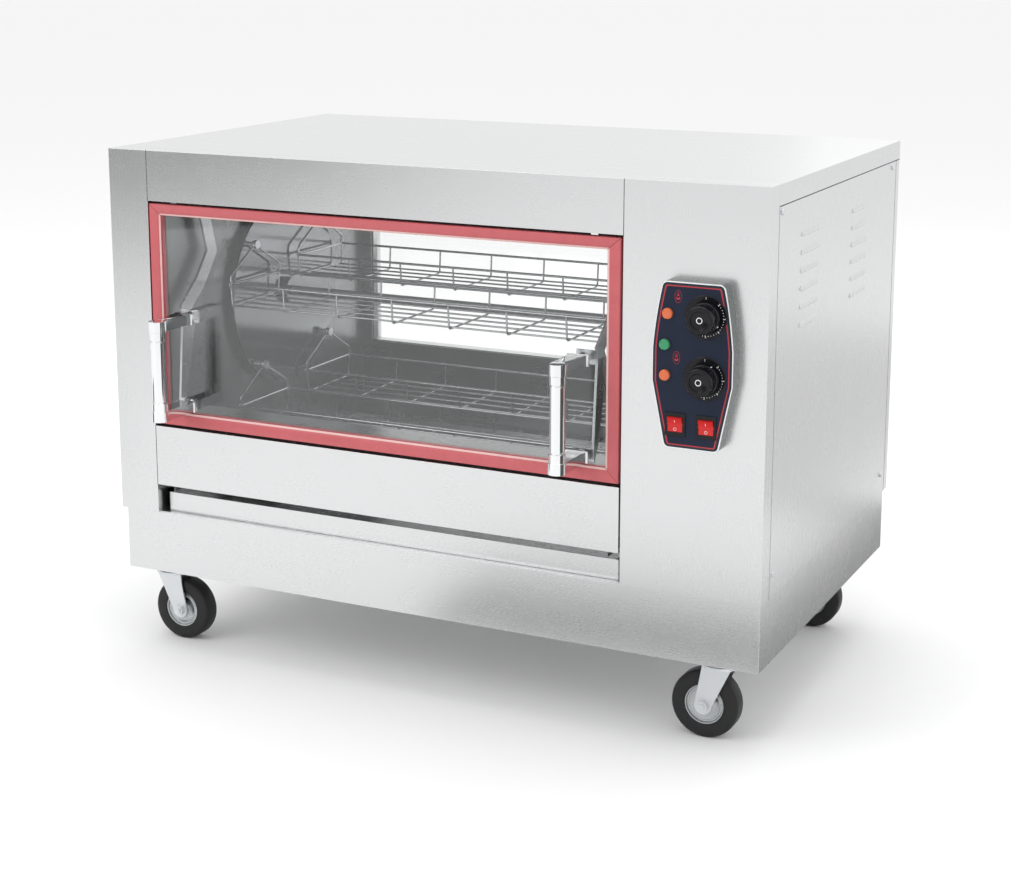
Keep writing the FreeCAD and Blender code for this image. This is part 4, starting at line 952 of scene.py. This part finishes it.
def dialRings():
    for name, (low, high) in zip(("lower", "upper"), solidRow("dial_rings", "z")):
        centre = Vector(((low.x + high.x) / 2, high.y, (low.z + high.z) / 2))
        thick = (high.y - low.y) / mm
        ring, inner, bore = (dial[part] for part in ("ring", "inner", "bore"))
        profile = [(bore, 0.0), (ring, 0.0), (ring, -0.35), (ring - 0.3, -0.7), (ring - 1.2, -thick + 0.05),
                   (ring - 1.9, -thick + 0.22), (inner + 1.0, -thick), (inner, -thick + 0.3),
                   (bore, -thick + 0.3), (bore, 0.0)]
        piece = lathe(name + "_dial_ring", profile, centre, "y", 72)
        finishPiece(piece, name + "_dial_ring_finished", "cabinet", glossBlack, "gloss_black", 40)
        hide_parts("dial_rings")
        marks = []
        face = low.y - 0.04 * mm
        for number in range(dial["numerals"]):
            turn = math.radians(dial["step"] * number)
            marks.append(numeral(str(number + 1), onDial(centre, face, dial["numeralAt"], turn), turn))
            if number < dial["dotsFrom"] or number == dial["numerals"] - 1:
                continue
            for dot in range(1, dial["dotsBetween"] + 1):
                turn = math.radians(dial["step"] * (number + dot / (dial["dotsBetween"] + 1)))
                marks.append(disc(onDial(centre, face, dial["dotAt"], turn), dial["dot"] * mm,
                                  dial["printThick"] * mm, 12))
        finishPiece(joinPieces(marks), name + "_dial_scale", "cabinet", whitePrint, "gloss_black")


knobShape = {"skirt": 21.0, "cap": 19.4, "waist": 18.6, "recess": 12.0, "recessDeep": 3.0, "badge": 4.3,
             "badgeLine": 1.0, "markDepth": 3.6, "mark": (1.6, 4.6, 1.0)}


def knobs():
    for name, turn in (("upper_knob", 120.0), ("lower_knob", 30.0)):
        low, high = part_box(name)
        axle = joints[name + "_turn"]["pos_m"]
        centre = Vector((axle[0], high[1], axle[2]))
        tall = (high[1] - low[1]) / mm
        skirt, cap, waist, recess = (knobShape[part] for part in ("skirt", "cap", "waist", "recess"))
        floor = -tall + knobShape["recessDeep"]
        profile = [(3.2, 0.0), (skirt - 0.4, 0.0), (skirt, -0.4), (skirt, -5.6), (skirt - 0.5, -6.6),
                   (skirt - 1.2, -7.0), (waist, -7.3), (waist, -8.2), (cap, -9.4),
                   (cap + 0.3, -11.0), (cap, -tall + 2.6), (cap - 0.5, -tall + 1.2), (cap - 1.6, -tall + 0.3),
                   (cap - 2.6, -tall), (recess + 0.5, -tall + 0.25), (recess, -tall + 0.7),
                   (recess - 0.3, -tall + 2.6), (recess - 1.0, floor), (0.0, floor)]
        body = lathe(name + "_body", profile, centre, "y", 72)
        finishPiece(body, name + "_finished", name, glossBlack, "gloss_black", 40)
        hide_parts(name)
        badge = knobShape["badge"]
        bore = badge - knobShape["badgeLine"]
        profile = [(bore, floor), (bore, floor - 0.25), (badge, floor - 0.25), (badge, floor)]
        ring = lathe(name + "_ring", profile, centre, "y", 40)
        finishPiece(ring, name + "_centre_ring", name, whitePrint, "gloss_black")
        angle = math.radians(turn)
        place = onDial(centre, centre.y - knobShape["markDepth"] * mm, skirt - 0.1, angle)
        mark = block(place, [length * mm for length in knobShape["mark"]], (0, angle, 0))
        applyModifier(mark, "BEVEL", width=0.3 * mm, segments=2)
        finishPiece(mark, name + "_pointer", name, whitePrint, "gloss_black")


signalLamp = {"radius": 7.5, "flange": 8.1, "dome": 5.0}


def signalLamps():
    tones = (orangeLens, greenLens, orangeLens)
    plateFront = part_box("control_plate")[0][1]
    edge, flange, dome = signalLamp["radius"], signalLamp["flange"], signalLamp["dome"]
    for number, (low, high) in enumerate(solidRow("indicator_lamps", "z")):
        centre = Vector(((low.x + high.x) / 2, plateFront, (low.z + high.z) / 2))
        profile = [(0.0, 8.0), (edge - 1.6, 8.0), (edge - 1.6, 0.0), (edge, 0.0), (edge, -3.2),
                   (edge - 0.5, -4.4), (edge - 1.6, 0.05 - dome), (edge * 0.45, -dome), (0.0, -dome)]
        lens = lathe("lens", profile, centre, "y", 40)
        finishPiece(lens, "signal_lamp_%d" % (number + 1), "cabinet", tones[number], "lamp_lens", 40)
        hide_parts("indicator_lamps")
        profile = [(edge + 0.02, 0.0), (edge + 0.02, -1.0), (flange - 0.3, -0.9), (flange, -0.4),
                   (flange, 0.0)]
        rim = lathe("rim", profile, centre, "y", 40)
        finishPiece(rim, "signal_lamp_rim_%d" % (number + 1), "cabinet", mattBlack, "lamp_lens", 40)


thermometer = {"places": ((412.0, 651.0), (411.0, 568.0)), "tall": 17.0, "wide": 9.5, "line": 0.45,
               "bulb": 2.6, "stem": 1.4, "thick": 0.2}


def thermometerIcons():
    # an oval line with a bulb, a stem and its round top inside, printed on the plate
    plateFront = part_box("control_plate")[0][1]
    half, tall = thermometer["wide"] / 2 * mm, thermometer["tall"] / 2 * mm
    thick = thermometer["thick"] * mm
    for number, (x, z) in enumerate(thermometer["places"]):
        centre = Vector((x * mm, plateFront - 0.06 * mm, z * mm))
        loop = []
        for degrees in range(0, 360, 10):
            angle = math.radians(degrees)
            loop.append(centre + Vector((half * math.sin(angle), 0, tall * math.cos(angle))))
        pieces = [tubeAlong("ring", loop, thermometer["line"] * mm / 2, 8, closed=True)]
        for place, radius in ((-0.22, thermometer["bulb"]), (0.5, thermometer["stem"])):
            pieces.append(disc(centre + Vector((0, 0, place * tall)), radius * mm, thick, 28))
        pieces.append(block(centre + Vector((0, 0, 0.15 * tall)),
                            (thermometer["stem"] * 2 * mm, thick, 0.72 * tall)))
        for part in pieces:
            settle(part)
        name = "thermometer_icon_%d" % (number + 1)
        finishPiece(joinPieces(pieces), name, "cabinet", redPrint, "navy_plate")


rockerMark = {"face": 1.5, "slope": 22.0, "ring": 1.9, "line": 0.5, "down": 6.6, "up": 4.6,
              "bar": (0.55, 0.3, 3.6)}


def rockers():
    softCopy("switch_housings", glossBlack)
    slope = math.radians(rockerMark["slope"])
    up, down, radius = (rockerMark[part] * mm for part in ("up", "down", "ring"))
    for name in ("left_rocker", "right_rocker"):
        softCopy(name, redPlastic, 0.7, 3)
        pivot = Vector(joints[name + "_press"]["pos_m"])
        flat = pivot.y - rockerMark["face"] * mm
        loop = []
        for degrees in range(0, 360, 12):
            angle = math.radians(degrees)
            loop.append((pivot.x + radius * math.sin(angle), flat, pivot.z + radius * math.cos(angle) - down))
        ring = tubeAlong("ring", loop, rockerMark["line"] * mm / 2, 8, closed=True)
        bar = block((pivot.x, flat - up * math.tan(slope), pivot.z + up),
                    [length * mm for length in rockerMark["bar"]], (slope, 0, 0))
        finishPiece(joinPieces([ring, bar]), name + "_marks", name, whitePrint, "red_plastic")


controlPanel()
dialRings()
knobs()
signalLamps()
thermometerIcons()
rockers()
print("control box finished")
